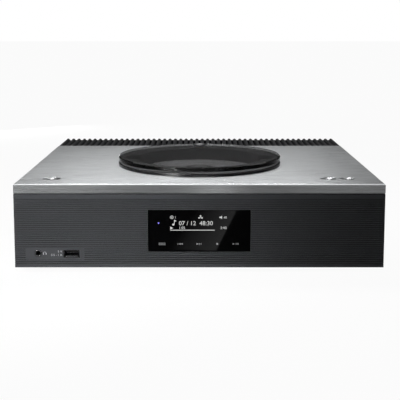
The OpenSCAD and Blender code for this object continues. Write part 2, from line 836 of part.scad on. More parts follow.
// Gears
rack_y = rail_y + sled_edge;
rack_pitch = PI * rack_module;
rack_add = addendum * rack_module;
rack_ded = dedendum * rack_module;
feed_r = feed_teeth * rack_module / 2;
feed_y = rack_y + rack_t + rack_ded + feed_r;
wheel_r = wheel_teeth * wheel_module / 2;
motor_pinion_r = motor_teeth * wheel_module / 2;
motor_x = feed_x + (wheel_r + motor_pinion_r) * cos(motor_angle);
motor_y = feed_y + (wheel_r + motor_pinion_r) * sin(motor_angle);
rack_z = rail_z - rack_h / 2;
rack_left = ceil(sled_travel / rack_pitch) + rack_spare;
rack_x0 = feed_x - (rack_left + 0.5) * rack_pitch;
rack_x1 = feed_x + (rack_spare + 0.5) * rack_pitch;
wheel_z = drive_top + wheel_gap;
drive_right = rail_x1 + over;

// Rear sockets
post_xs = [for (i = [0 : 3]) -half_w + post_inset + i * post_pitch];
post_z = floor_top + post_rise;
post_flange_y = rear_y + post_flange_t;
washer_y = post_flange_y + washer_gap;
knob_y = washer_y + washer_t + washer_gap;
knob_end_y = rear_y + terminal_reach;
post_end_y = knob_end_y - post_tip;
knob_bore_r = post_r + knob_gap;
phono_xs = [for (i = [0 : phono_columns - 1]) half_w - phono_inset + i * phono_pitch];
phono_zs = [board_top + phono_rise, board_top + phono_rise + phono_pitch];
lan_x = half_w - lan_inset;
aerial_x = half_w - aerial_inset;
aerial_z = board_top + aerial_rise;
inlet_x = -half_w + inlet_inset;
inlet_z = floor_top + inlet_rise;
inlet_body_w = inlet_w - 2 * inlet_edge;
inlet_body_h = inlet_h - 2 * inlet_edge;
rear_screw_xs = [-half_w + rear_screw_inset, rear_screw_mid, half_w - rear_screw_inset];
rear_screw_z = (floor_top + board_z) / 2;

// Feet
foot_xs = [-half_w + foot_inset, half_w - foot_inset];
foot_ys = [front_y + foot_setback, rear_y - foot_setback];

plate_screw_ys = [front_y + plate_screw_edge, well_y, plate_back_y - plate_screw_edge];

// A box between two corners
module span_box(low, high) {
  translate(low) cube(high - low);
}

// Round bars along one axis, between two places on it
module rod_x(r, x0, x1) {
  translate([x0, 0, 0]) rotate([0, 90, 0]) cylinder(r = r, h = x1 - x0);
}

module rod_y(r, y0, y1) {
  translate([0, y1, 0]) rotate([90, 0, 0]) cylinder(r = r, h = y1 - y0);
}

module rod_z(r, z0, z1) {
  translate([0, 0, z0]) cylinder(r = r, h = z1 - z0);
}

// A flat ring around Z
module ring_z(r_out, r_in, z0, z1) {
  rotate_extrude() translate([r_in, z0]) square([r_out - r_in, z1 - z0]);
}

// Profiles drawn flat and drawn out along X or along Y; the drawing's second axis becomes Z
module along_x(x0, x1) {
  translate([x0, 0, 0]) rotate([90, 0, 90]) linear_extrude(x1 - x0) children();
}

module along_y(y0, y1) {
  translate([0, y1, 0]) rotate([90, 0, 0]) linear_extrude(y1 - y0) children();
}

module at_well() {
  translate([0, well_y, 0]) children();
}

module at_pivot() {
  translate([0, pivot_y, 0]) children();
}

// A screw that points along +Z with its head's inner face at the origin
module screw(reach) {
  rod_z(head_r, -head_h, 0);
  rod_z(screw_r, -head_h / 2, reach);
}

// Half the angle that a gear tooth fills at radius r
function involute(a) = tan(a) * 180 / PI - a;
function half_tooth(r, pitch_r, teeth) =
  90 / teeth + involute(pressure) - involute(acos(min(1, pitch_r * cos(pressure) / r)))
  - tooth_play / pitch_r * 90 / PI;

// A spur gear with one tooth on +X
module gear_outline(teeth, size) {
  pitch_r = teeth * size / 2;
  radii = [pitch_r - dedendum * size, pitch_r, pitch_r + addendum * size];
  halves = [for (r = radii) half_tooth(r, pitch_r, teeth)];
  order = [0, 1, 2];
  polygon([
    for (i = [0 : teeth - 1])
      for (side = [-1, 1])
        for (j = order)
          let (k = side < 0 ? j : 2 - j)
            let (a = 360 / teeth * i + side * halves[k])
              [radii[k] * cos(a), radii[k] * sin(a)]
  ]);
}

// Cabinet

module bottom_chassis() {
  edge_x = side_in_x - case_gap;
  color("dimgray") difference() {
    union() {
      span_box([-edge_x, panel_back_y + case_gap, floor_z], [edge_x, rear_in_y, floor_top]);
      span_box([-edge_x, rear_in_y - floor_t, floor_z], [edge_x, rear_in_y, board_z]);
      for (p = board_spots) translate(p) rod_z(stud_r, floor_z, board_z);
      for (x = foot_xs, y = foot_ys) translate([x, y]) rod_z(stud_r, floor_z, floor_top + foot_collar_h);
    }
    for (p = board_spots) translate(p) rod_z(thread_r, board_z - grip - over, board_z + over);
    for (x = foot_xs, y = foot_ys)
      translate([x, y]) rod_z(thread_r, floor_z - over, floor_top + foot_collar_h + over);
    for (x = [-block_x, block_x], y = block_ys)
      translate([x, y]) rod_z(hole_r, floor_z - over, floor_top + over);
    for (x = [-front_block_x, front_block_x])
      translate([x, front_block_y]) rod_z(hole_r, floor_z - over, floor_top + over);
    for (x = rear_screw_xs)
      translate([x, 0, rear_screw_z]) rod_y(thread_r, rear_in_y - floor_t - over, rear_in_y + over);
    for (i = [0 : slot_count - 1])
      translate([(i - (slot_count - 1) / 2) * slot_pitch, well_y])
        span_box([-slot_w / 2, -slot_len / 2, floor_z - over], [slot_w / 2, slot_len / 2, floor_top + over]);
  }
}

function groove_top(i) = panel_top - band_top - i * rib_pitch;
groove_count = floor((panel_h - band_top - band_foot - groove_w) / rib_pitch) + 1;

function front_outline() = concat(
  [[panel_back_y, panel_top], [panel_back_y, floor_z], [front_y, floor_z]],
  [
    for (n = [groove_count - 1 : -1 : 0])
      for (p = [
        [0, -groove_w],
        [groove_depth, groove_slope - groove_w],
        [groove_depth, -groove_slope],
        [0, 0]
      ])
        [front_y + p[0], groove_top(n) + p[1]]
  ],
  [[front_y, panel_top]]
);

module front_panel() {
  color([0.2, 0.2, 0.22]) difference() {
    union() {
      along_x(-half_w, half_w) polygon(front_outline());
      translate([socket_mid_x, 0, usb_z])
        span_box([-pad_w / 2, front_y, -pad_h / 2], [pad_w / 2, front_y + groove_depth + over, pad_h / 2]);
      for (x = [-front_block_x, front_block_x])
        translate([x, 0, 0])
          span_box([-block_w / 2, panel_back_y - over, floor_top],
                   [block_w / 2, panel_back_y + block_w, floor_top + block_h]);
      for (x = [-front_screw_x, front_screw_x], z = front_screw_zs)
        translate([x, 0, z]) rod_y(stud_r, panel_back_y - over, front_board_y);
    }
    translate([0, 0, window_z])
      span_box([-window_w / 2 - window_gap, front_y - over, -window_gap],
               [window_w / 2 + window_gap, window_back_y, window_h + window_gap]);
    translate([0, 0, window_z])
      span_box([-window_w / 2 + window_ledge, front_y, window_ledge],
               [window_w / 2 - window_ledge, panel_back_y + over, window_h - window_ledge]);
    translate([jack_x, 0, jack_z]) rod_y(jack_r + socket_gap, front_y - over, panel_back_y + over);
    translate([usb_x, 0, usb_z])
      span_box([-usb_w / 2 - socket_gap, front_y - over, -usb_h / 2 - socket_gap],
               [usb_w / 2 + socket_gap, panel_back_y + over, usb_h / 2 + socket_gap]);
    for (x = [-front_block_x, front_block_x])
      translate([x, front_block_y]) rod_z(thread_r, floor_top - over, floor_top + grip + over);
    for (x = [-front_screw_x, front_screw_x], z = front_screw_zs)
      translate([x, 0, z]) rod_y(thread_r, front_board_y - grip - over, front_board_y + over);
  }
}

module side_panel() {
  difference() {
    union() {
      span_box([side_in_x, panel_back_y, floor_z], [half_w, rear_y, panel_top]);
      span_box([side_in_x - ledge_w, panel_back_y + case_gap, rim_z - ledge_t],
               [side_in_x, rear_in_y - case_gap, rim_z]);
      span_box([side_in_x - over, panel_back_y + case_gap, rim_z - ledge_t],
               [side_in_x + side_t / 2, rear_in_y - case_gap, panel_top]);
      for (y = block_ys)
        translate([block_x, y, 0])
          span_box([-block_w / 2, -block_w / 2, floor_top],
                   [block_w / 2 + over, block_w / 2, floor_top + block_h]);
    }
    for (y = concat(plate_screw_ys, grille_screw_ys))
      translate([ledge_x, y]) rod_z(hole_r, rim_z - ledge_t - over, rim_z + over);
    for (y = block_ys) translate([block_x, y]) rod_z(thread_r, floor_top - over, floor_top + grip + over);
  }
}

module left_side_panel() {
  color([0.2, 0.2, 0.22]) mirror([1, 0, 0]) side_panel();
}

module right_side_panel() {
  color([0.2, 0.2, 0.22]) side_panel();
}

module rear_panel() {
  edge_x = side_in_x - case_gap;
  y0 = rear_in_y - over;
  y1 = rear_y + over;
  color([0.16, 0.16, 0.17]) difference() {
    span_box([-edge_x, rear_in_y, floor_z], [edge_x, rear_y, panel_top]);
    for (x = post_xs) translate([x, 0, post_z]) rod_y(post_r + rear_gap, y0, y1);
    for (x = phono_xs, z = phono_zs) translate([x, 0, z]) rod_y(phono_r + collar_step + rear_gap, y0, y1);
    translate([aerial_x, 0, aerial_z]) rod_y(aerial_r + collar_step + rear_gap, y0, y1);
    translate([lan_x, 0, board_top])
      span_box([-lan_w / 2 - rear_gap, y0, -rear_gap], [lan_w / 2 + rear_gap, y1, lan_h + rear_gap]);
    translate([inlet_x, 0, inlet_z])
      span_box([-inlet_body_w / 2 - rear_gap, y0, -inlet_body_h / 2 - rear_gap],
               [inlet_body_w / 2 + rear_gap, y1, inlet_body_h / 2 + rear_gap]);
    for (x = rear_screw_xs) translate([x, 0, rear_screw_z]) rod_y(hole_r, y0, y1);
  }
}

module top_plate() {
  c = plate_chamfer;
  u = plate_under_chamfer;
  color([0.78, 0.79, 0.8]) {
    difference() {
      intersection() {
        along_y(front_y, plate_back_y)
          polygon([
            [-half_w + c, plate_z], [half_w - c, plate_z], [half_w, plate_z - c], [half_w, rim_z + u],
            [half_w - u, rim_z], [-half_w + u, rim_z], [-half_w, rim_z + u], [-half_w, plate_z - c]
          ]);
        along_x(-half_w, half_w)
          polygon([
            [front_y + c, plate_z], [plate_back_y, plate_z], [plate_back_y, rim_z],
            [front_y + u, rim_z], [front_y, rim_z + u], [front_y, plate_z - c]
          ]);
      }
      span_box([-half_w + plate_rim_t, front_y + plate_rim_t, rim_z - over],
               [half_w - plate_rim_t, plate_back_y - plate_rim_t, deck_z]);
      at_well() rod_z(skirt_r + well_gap, deck_z - over, plate_z + over);
      translate([power_x, button_y]) rod_z(power_r + button_gap, deck_z - over, plate_z + over);
      for (x = [volume_down_x, volume_up_x])
        translate([x, button_y]) rod_z(volume_r + button_gap, deck_z - over, plate_z + over);
    }
    difference() {
      union() {
        for (x = [-ledge_x, ledge_x], y = plate_screw_ys)
          translate([x, y]) rod_z(plate_boss_r, rim_z, deck_z + over);
        for (x = key_post_xs, s = [-1, 1])
          translate([x, button_y + s * key_post_y]) rod_z(key_post_r, key_board_top, deck_z + over);
      }
      for (x = [-ledge_x, ledge_x], y = plate_screw_ys)
        translate([x, y]) rod_z(thread_r, rim_z - over, rim_z + grip + over / 2);
      for (x = key_post_xs, s = [-1, 1])
        translate([x, button_y + s * key_post_y])
          rod_z(thread_r, key_board_top - over, key_board_top + grip + over);
    }
  }
}

module fin_outline() {
  fin_r = fin_w / 2;
  translate([-fin_r, rim_z]) square([fin_w, plate_rim_h - fin_r]);
  translate([0, plate_z - fin_r]) circle(r = fin_r);
}

module vent_grille() {
  bar_x = half_w - fin_w / 2;
  bar_hs = [front_bar_h, mid_bar_h, mid_bar_h];
  color([0.24, 0.24, 0.25]) difference() {
    union() {
      for (i = [0 : fin_count - 1])
        translate([-bar_x + i * fin_pitch, 0, 0]) along_y(grille_y, rear_y) fin_outline();
      for (i = [0 : 2])
        span_box([-bar_x, bar_ys[i], rim_z], [bar_x, bar_ys[i] + bar_w, rim_z + bar_hs[i]]);
      span_box([-bar_x, rear_y - bar_w, rim_z], [bar_x, rear_y, plate_z - rear_bar_drop]);
    }
    for (x = [-ledge_x, ledge_x], y = grille_screw_ys)
      translate([x, y]) rod_z(thread_r, rim_z - over, rim_z + bar_screw_depth);
  }
}

module feet() {
  color([0.1, 0.1, 0.1])
    for (x = foot_xs, y = foot_ys)
      translate([x, y, 0]) difference() {
        rotate_extrude() polygon([[0, 0], [foot_base_r, 0], [foot_r, foot_h], [0, foot_h]]);
        rod_z(hole_r, -over, foot_h + over);
        rod_z(head_r + hole_gap, -over, foot_recess);
      }
}

module screws() {
  color([0.55, 0.55, 0.57]) {
    for (x = [-ledge_x, ledge_x]) {
      for (y = plate_screw_ys) translate([x, y, rim_z - ledge_t]) screw(ledge_t + grip);
      for (y = grille_screw_ys)
        translate([x, y, rim_z - ledge_t]) screw(ledge_t + bar_screw_depth - thread_gap);
    }
    for (x = [-block_x, block_x], y = block_ys) translate([x, y, floor_z]) screw(floor_t + grip);
    for (x = [-front_block_x, front_block_x]) translate([x, front_block_y, floor_z]) screw(floor_t + grip);
    for (x = foot_xs, y = foot_ys)
      translate([x, y, foot_recess]) screw(foot_h - foot_recess + floor_t + foot_collar_h);
    for (p = board_spots) translate([p[0], p[1], board_top]) rotate([180, 0, 0]) screw(board_t + grip);
    for (x = [-front_screw_x, front_screw_x], z = front_screw_zs)
      translate([x, front_board_y + board_t, z]) rotate([90, 0, 0]) screw(board_t + grip);
    for (x = rear_screw_xs)
      translate([x, rear_y, rear_screw_z]) rotate([90, 0, 0]) screw(rear_t + floor_t + screw_tip);
    for (x = key_post_xs, s = [-1, 1])
      translate([x, button_y + s * key_post_y, key_board_z]) screw(board_t + grip);
    for (p = grommet_spots)
      translate([p[0], well_y + p[1], grommet_z]) screw(grommet_top - grommet_z + well_grip);
  }
}

// Display and front sockets

module display_window() {
  color([0.02, 0.02, 0.02])
    translate([0, 0, window_z])
      span_box([-window_w / 2, window_y, 0], [window_w / 2, window_back_y, window_h]);
}

module display_module() {
  color([0.08, 0.08, 0.09])
    translate([0, 0, display_z])
      span_box([-display_w / 2, window_back_y, -display_h / 2],
               [display_w / 2, front_board_y, display_h / 2]);
}

module front_boards() {
  y1 = front_board_y + board_t;
  color([0.05, 0.3, 0.15]) {
    difference() {
      span_box([-front_board_w / 2, front_board_y, front_board_z],
               [front_board_w / 2, y1, front_board_z + front_board_h]);
      for (x = [-front_screw_x, front_screw_x], z = front_screw_zs)
        translate([x, 0, z]) rod_y(hole_r, front_board_y - over, y1 + over);
    }
    difference() {
      span_box([socket_x0, socket_y0, board_z], [socket_x1, socket_y1, board_top]);
      for (x = socket_xs, y = socket_ys) translate([x, y]) rod_z(hole_r, board_z - over, board_top + over);
    }
  }
}

module headphone_jack() {
  color([0.07, 0.07, 0.07])
    translate([jack_x, 0, 0]) difference() {
      union() {
        translate([0, 0, jack_z]) rod_y(jack_r, socket_y, panel_back_y + over);
        span_box([-jack_body_w / 2, panel_back_y + case_gap, board_top],
                 [jack_body_w / 2, panel_back_y + case_gap + jack_body_d, jack_z + jack_body_w / 2]);
      }
      translate([0, 0, jack_z]) rod_y(jack_bore_r, socket_y - over, socket_y + jack_depth);
    }
}

module usb_shell() {
  color([0.6, 0.6, 0.62])
    translate([usb_x, 0, usb_z]) difference() {
      span_box([-usb_w / 2, socket_y, -usb_h / 2], [usb_w / 2, socket_y + usb_d, usb_h / 2]);
      span_box([-usb_open_w / 2, socket_y - over, -usb_open_h / 2],
               [usb_open_w / 2, socket_y + usb_d - usb_wall, usb_open_h / 2]);
    }
}

module usb_tongue() {
  top = usb_open_h / 2 - usb_tongue_gap;
  color([0.9, 0.9, 0.88])
    translate([usb_x, 0, usb_z])
      span_box([-usb_tongue_w / 2, socket_y + usb_tongue_inset, top - usb_tongue_t],
               [usb_tongue_w / 2, socket_y + usb_d - usb_wall, top]);
}

// Buttons

module button(r) {
  dish_r = r - dish_rim;
  sphere_r = (dish_r * dish_r + dish_depth * dish_depth) / (2 * dish_depth);
  color([0.8, 0.81, 0.82]) difference() {
    union() {
      rod_z(r, flange_z, button_top);
      rod_z(r + button_gap + button_flange, flange_z, flange_top);
      rod_z(stem_r, stem_z, flange_top);
    }
    translate([0, 0, button_top - dish_depth + sphere_r]) sphere(r = sphere_r, $fn = 128);
  }
}

module power_button() {
  translate([power_x, button_y]) button(power_r);
}

module volume_down_button() {
  translate([volume_down_x, button_y]) button(volume_r);
}

module volume_up_button() {
  translate([volume_up_x, button_y]) button(volume_r);
}

module key_boards() {
  depth = key_post_y + key_post_r + over;
  color([0.05, 0.3, 0.15]) difference() {
    union() {
      translate([power_x, button_y])
        span_box([-key_board_edge, -depth, key_board_z], [key_board_edge, depth, key_board_top]);
      translate([0, button_y])
        span_box([volume_down_x - key_board_edge, -depth, key_board_z],
                 [volume_up_x + key_board_edge, depth, key_board_top]);
      for (p = key_spots)
        translate(p)
          span_box([-key_w / 2, -key_w / 2, key_board_top], [key_w / 2, key_w / 2, key_top]);
    }
    for (p = key_spots)
      translate(p) rod_z(stem_r + stem_gap, stem_z - button_travel - stem_gap, key_top + over);
    for (x = key_post_xs, s = [-1, 1])
      translate([x, button_y + s * key_post_y]) rod_z(hole_r, key_board_z - over, key_board_top + over);
  }
}

// Lid

module lid_disc() {
  c = lid_chamfer;
  u = lid_under_chamfer;
  color([0.25, 0.25, 0.27, 0.6]) difference() {
    at_well() rotate_extrude($fn = 128)
      polygon([
        [0, lid_z], [lid_r - u, lid_z], [lid_r, lid_z + u],
        [lid_r, lid_top - c], [lid_r - c, lid_top], [0, lid_top]
      ]);
    at_pivot() rod_z(pivot_r + pivot_gap, lid_z - over, lid_top + over);
  }
}

module lid_pivot_shaft() {
  color([0.7, 0.7, 0.72]) at_pivot() {
    rod_z(pivot_r, arm_z, lid_top);
    rod_z(collar_r, collar_z, lid_z);
  }
}

module lid_pivot_cap() {
  color([0.6, 0.6, 0.62]) at_pivot() rod_z(cap_r, lid_top, lid_top + cap_t);
}

module lid_retaining_clip() {
  color([0.5, 0.5, 0.5]) at_pivot() ring_z(clip_r, pivot_r + pivot_gap, clip_z, clip_top);
}

module lid_stop_arm() {
  color([0.45, 0.45, 0.47]) at_pivot() difference() {
    union() {
      rod_z(arm_hub_r, arm_z, arm_top);
      rotate([0, 0, arm_angle]) span_box([0, -arm_w / 2, arm_z], [arm_len, arm_w / 2, arm_top]);
    }
    rod_z(pivot_r + pivot_gap, arm_z - over, arm_top + over);
  }
}

module pivot_bush() {
  bore = pivot_r + pivot_gap;
  color([0.75, 0.6, 0.3]) at_pivot() rotate_extrude()
    polygon([
      [bore, bush_z], [bush_r, bush_z], [bush_r, rim_top], [bush_flange_r, rim_top],
      [bush_flange_r, bush_flange_top], [bore, bush_flange_top]
    ]);
}

// Disc well

module disc_well() {
  lean = (mouth_r - bed_r) / (rim_top - bed_z) * over;
  color([0.13, 0.13, 0.14]) difference() {
    union() {
      at_well() rotate_extrude($fn = 128)
        polygon([
          [0, bed_z], [0, rim_top], [skirt_r, rim_top],
          [skirt_r, plate_z + well_flange_t], [flange_r, plate_z + well_flange_t], [flange_r, plate_z],
          [skirt_r, plate_z], [skirt_r, skirt_z], [skirt_r - skirt_t, skirt_z],
          [skirt_r - skirt_t, rim_under], [mouth_r + well_wall, rim_under], [bed_r + well_wall, bed_z]
        ]);
      for (s = [-1, 1])
        at_well() translate([s * scoop_x, 0]) rod_z(scoop_r + well_wall, bed_z, rim_top);
      at_pivot() rod_z(pivot_boss_r, bush_z, rim_top);
      at_pivot() for (s = [-1, 1]) translate([s * stop_r, 0]) rod_z(stop_pin_r, arm_z, rim_top - over);
    }
    at_well() rotate_extrude($fn = 128)
      polygon([
        [0, bed_z - over], [bed_r - lean, bed_z - over], [mouth_r + lean, rim_top + over], [0, rim_top + over]
      ]);
    at_pivot() rod_z(bush_r + seat_gap, bush_z - over, rim_top + over);
    for (s = [-1, 1])
      at_well() translate([s * scoop_x, 0]) rod_z(scoop_r, bed_z + turntable_lift, rim_top + over);
  }
}

// The floor of the well, bonded under its wall; the drive hangs on its bosses
module disc_bed() {
  slot_x1 = lens_x + sled_travel + lens_holder_x + turntable_gap / 2;
  color([0.3, 0.3, 0.31]) at_well() difference() {
    union() {
      ring_z(bed_r + well_wall, turntable_r + turntable_gap, bed_under, bed_z);
      for (p = grommet_spots) translate(p) rod_z(grommet_r, grommet_top, bed_under + over);
    }
    span_box([0, -slot_half_w, bed_under - over], [slot_x1, slot_half_w, bed_z + over]);
    for (p = grommet_spots)
      translate(p) rod_z(thread_r, grommet_top - over, grommet_top + well_grip + thread_gap);
  }
}

module well_trim_ring() {
  c = ring_chamfer;
  in_r = skirt_r + ring_gap;
  step_r = flange_r + ring_gap;
  step_z = plate_z + well_flange_t + ring_gap;
  color([0.3, 0.3, 0.32]) at_well() difference() {
    rotate_extrude($fn = 128)
      polygon([
        [in_r, step_z], [step_r, step_z], [step_r, plate_z], [lid_r, plate_z],
        [lid_r, ring_top - c], [lid_r - c, ring_top], [in_r, ring_top]
      ]);
    span_box([-notch_w / 2, -lid_r - over, ring_top - notch_h],
             [notch_w / 2, notch_d - lid_r, ring_top + over]);
  }
}

// Disc drive

module turntable() {
  bore = spindle_r + shaft_gap;
  color([0.16, 0.16, 0.17]) at_well() rotate_extrude()
    polygon([
      [bore, boss_z], [boss_r, boss_z], [boss_r, turntable_z], [turntable_r, turntable_z],
      [turntable_r, turntable_top], [hub_r, turntable_top], [hub_r, turntable_top + hub_h],
      [hub_r - hub_tip, hub_top], [0, hub_top], [0, turntable_top + hub_h], [bore, turntable_top + hub_h]
    ]);
}

module turntable_pad() {
  color([0.08, 0.08, 0.08])
    at_well() ring_z(pad_in_r + pad_ring_w, pad_in_r, turntable_top, turntable_top + pad_t);
}

module spindle_shaft() {
  color([0.75, 0.75, 0.77])
    at_well() rod_z(spindle_r, motor_z + motor_floor + shaft_gap, turntable_top + hub_h);
}

module spindle_motor() {
  color([0.6, 0.6, 0.62]) at_well() difference() {
    union() {
      rod_z(motor_r, motor_z, drive_z);
      rod_z(nose_r, drive_z - over, nose_top);
    }
    rod_z(spindle_r + shaft_gap, motor_z + motor_floor, nose_top + over);
  }
}

module rail_holders() {
  for (x = [rail_x0, rail_x1 - holder_t], y = [-rail_y, rail_y])
    translate([x, y, 0])
      span_box([0, -holder_w, rail_z - holder_w], [holder_t, holder_w, drive_z + over]);
}

module drive_chassis() {
  ear = grommet_spots[3];
  color([0.35, 0.36, 0.38]) at_well() difference() {
    union() {
      span_box([-drive_left, -drive_half_d, drive_z], [drive_right, drive_half_d, drive_top]);
      translate([ear[0], 0, 0])
        span_box([-grommet_r * 2, drive_half_d - over, drive_z],
                 [grommet_r * 2, ear[1] + grommet_r, drive_top]);
      rail_holders();
    }
    rod_z(nose_r + seat_gap, drive_z - over, drive_top + over);
    span_box([lens_x - tower_half_x - tower_gap, -tower_half_w - tower_gap, drive_z - over],
             [lens_x + sled_travel + tower_half_x + tower_gap, tower_half_w + tower_gap, drive_top + over]);
    translate([feed_x, feed_y]) rod_z(feed_shaft_r + shaft_gap, drive_z - over, drive_top + over);
    translate([motor_x, motor_y]) rod_z(feed_nose_r + seat_gap, drive_z - over, drive_top + over);
    translate([0, -rail_y, rail_z]) rod_x(rail_r + rail_gap, rail_x0 - over, rail_x1 + over);
    translate([0, rail_y, rail_z]) rod_x(side_rail_r + rail_gap, rail_x0 - over, rail_x1 + over);
    for (p = grommet_spots) translate(p) rod_z(grommet_neck_r + seat_gap, drive_z - over, drive_top + over);
  }
}

module damper_grommets() {
  color([0.1, 0.1, 0.1])
    for (p = grommet_spots)
      translate([p[0], well_y + p[1], 0]) rotate_extrude()
        polygon([
          [hole_r, grommet_z], [grommet_r, grommet_z], [grommet_r, drive_z], [grommet_neck_r, drive_z],
          [grommet_neck_r, drive_top], [grommet_r, drive_top], [grommet_r, grommet_top], [hole_r, grommet_top]
        ]);
}

module guide_rails() {
  color([0.78, 0.78, 0.8]) at_well() {
    translate([0, -rail_y, rail_z]) rod_x(rail_r, rail_x0, rail_x1);
    translate([0, rail_y, rail_z]) rod_x(side_rail_r, rail_x0, rail_x1);
  }
}

module pickup_sled() {
  slot_h = side_rail_r + rail_gap;
  color([0.12, 0.12, 0.13]) at_well() difference() {
    union() {
      span_box([sled_x0, -rack_y, sled_z], [sled_x1, rack_y, sled_top]);
      translate([lens_x, 0, 0])
        span_box([-tower_half_x, -tower_half_w, sled_top - over], [tower_half_x, tower_half_w, tower_top]);
    }
    translate([0, -rail_y, rail_z]) rod_x(rail_r + rail_gap, sled_x0 - over, sled_x1 + over);
    span_box([sled_x0 - over, rail_y - slot_h, rail_z - slot_h],
             [sled_x1 + over, rack_y + over, rail_z + slot_h]);
  }
}

module rack_tooth() {
  half = rack_pitch / 4 - tooth_play / 2;
  tip = half - rack_add * tan(pressure);
  root = half + rack_ded * tan(pressure);
  sunk = rack_ded + rack_t / 2;
  polygon([
    [-root, -sunk], [root, -sunk], [root, -rack_ded], [tip, rack_add], [-tip, rack_add], [-root, -rack_ded]
  ]);
}

module feed_rack() {
  color([0.85, 0.85, 0.82]) at_well() translate([0, 0, rack_z]) linear_extrude(rack_h) {
    translate([rack_x0 - rack_pitch / 2, rack_y]) square([rack_x1 - rack_x0 + rack_pitch, rack_t]);
    for (i = [-rack_left : rack_spare])
      translate([feed_x + (i + 0.5) * rack_pitch, rack_y + rack_t + rack_ded]) rack_tooth();
  }
}

module lens_holder() {
  color([0.15, 0.15, 0.16]) at_well() translate([lens_x, 0, 0]) difference() {
    span_box([-lens_holder_x, -lens_holder_y, holder_z], [lens_holder_x, lens_holder_y, holder_top]);
    rod_z(lens_r + shaft_gap, holder_z + lens_floor, holder_top + over);
  }
}

module objective_lens() {
  top = holder_top + lens_rise;
  color([0.6, 0.7, 0.9]) at_well() translate([lens_x, 0, 0]) intersection() {
    rod_z(lens_r, holder_z + lens_floor, top);
    translate([0, 0, top - lens_dome]) sphere(r = lens_dome, $fn = 96);
  }
}

module feed_wheel() {
  color([0.88, 0.88, 0.85]) at_well() translate([feed_x, feed_y, wheel_z]) difference() {
    linear_extrude(wheel_t) rotate(motor_angle) gear_outline(wheel_teeth, wheel_module);
    rod_z(feed_shaft_r + shaft_gap, -over, wheel_t + over);
  }
}

module feed_pinion() {
  color([0.85, 0.85, 0.82]) at_well() translate([feed_x, feed_y, 0]) {
    translate([0, 0, rack_z]) linear_extrude(rack_h) rotate(-90) gear_outline(feed_teeth, rack_module);
    rod_z(feed_shaft_r, rack_z, wheel_z + wheel_t);
  }
}

module motor_pinion() {
  turn = motor_angle + 180 + 180 / motor_teeth;
  color([0.75, 0.62, 0.3]) at_well() translate([motor_x, motor_y, 0]) {
    translate([0, 0, wheel_z]) linear_extrude(wheel_t) rotate(turn) gear_outline(motor_teeth, wheel_module);
    rod_z(motor_shaft_r, motor_z + motor_floor + shaft_gap, wheel_z + wheel_t);
  }
}

module feed_motor() {
  color([0.62, 0.62, 0.64]) at_well() translate([motor_x, motor_y, 0]) difference() {
    union() {
      rod_z(feed_motor_r, motor_z, drive_z);
      rod_z(feed_nose_r, drive_z - over, drive_top);
    }
    rod_z(motor_shaft_r + shaft_gap, motor_z + motor_floor, drive_top + over);
  }
}

// Boards

module main_board() {
  color([0.05, 0.3, 0.15]) difference() {
    span_box([main_x0, main_y0, board_z], [main_x1, main_y1, board_top]);
    for (x = main_xs, y = main_ys) translate([x, y]) rod_z(hole_r, board_z - over, board_top + over);
  }
}

module power_board() {
  color([0.35, 0.25, 0.1]) difference() {
    span_box([power_x0, power_y0, board_z], [power_x1, power_y1, board_top]);
    for (x = power_xs, y = power_ys) translate([x, y]) rod_z(hole_r, board_z - over, board_top + over);
  }
}

module board_components() {
  mid_x = (power_x0 + power_x1) / 2;
  can_pitch = 2 * cap_can_r + can_gap;
  color([0.2, 0.2, 0.22]) {
    translate([mid_x, power_y0 + transformer_d, board_top])
      span_box([-transformer_w / 2, -transformer_d / 2, 0],
               [transformer_w / 2, transformer_d / 2, transformer_h]);
    for (i = [0 : 2])
      translate([mid_x, power_y0 + 2 * transformer_d + cap_can_r + i * can_pitch, 0])
        rod_z(cap_can_r, board_top, board_top + cap_can_h);
    translate([main_x1 - 2 * chip_w, main_y0 + 2 * chip_w, board_top])
      span_box([-chip_w / 2, -chip_w / 2, 0], [chip_w / 2, chip_w / 2, chip_t]);
    for (i = [0 : 3])
      translate([main_x0 + 2 * cap_can_r + i * can_pitch, main_y0 + 2 * cap_can_r, 0])
        rod_z(cap_can_r, board_top, board_top + cap_can_h);
  }
}

module amp_heat_sink() {
  x0 = main_x0 + board_screw_edge + head_r * 2;
  y0 = main_y0 + main_board_d / 2;
  pitch = (sink_w - sink_t) / (sink_fins - 1);
  color([0.3, 0.3, 0.32]) {
    span_box([x0, y0, board_top], [x0 + sink_w, y0 + sink_t, board_top + sink_h]);
    for (i = [0 : sink_fins - 1])
      translate([x0 + i * pitch, y0, board_top]) span_box([0, 0, 0], [sink_t, sink_d, sink_h]);
  }
}

// Rear sockets

module ac_inlet() {
  y1 = rear_y + inlet_t;
  color([0.08, 0.08, 0.08]) translate([inlet_x, 0, inlet_z]) {
    difference() {
      union() {
        span_box([-inlet_w / 2, rear_y, -inlet_h / 2], [inlet_w / 2, y1, inlet_h / 2]);
        span_box([-inlet_body_w / 2, y1 - inlet_d, -inlet_body_h / 2],
                 [inlet_body_w / 2, y1, inlet_body_h / 2]);
      }
      span_box([-recess_w / 2, y1 - recess_d, -recess_h / 2], [recess_w / 2, y1 + over, recess_h / 2]);
    }
    for (s = [-1, 1])
      translate([s * pin_pitch / 2, 0, 0]) rod_y(pin_r, y1 - recess_d - over, y1 - recess_d + pin_len);
  }
}

module phono_sockets() {
  y1 = rear_y + phono_len;
  color([0.7, 0.7, 0.72]) difference() {
    union() {
      span_box([phono_xs[0] - phono_edge, rear_in_y - phono_block_d, board_top],
               [phono_xs[phono_columns - 1] + phono_edge, rear_in_y, phono_zs[1] + phono_edge]);
      for (x = phono_xs, z = phono_zs)
        translate([x, 0, z]) {
          rod_y(phono_r + collar_step, rear_in_y - over, rear_y);
          rod_y(phono_r, rear_in_y, y1);
        }
    }
    for (x = phono_xs, z = phono_zs) translate([x, 0, z]) rod_y(phono_bore_r, y1 - phono_depth, y1 + over);
  }
}

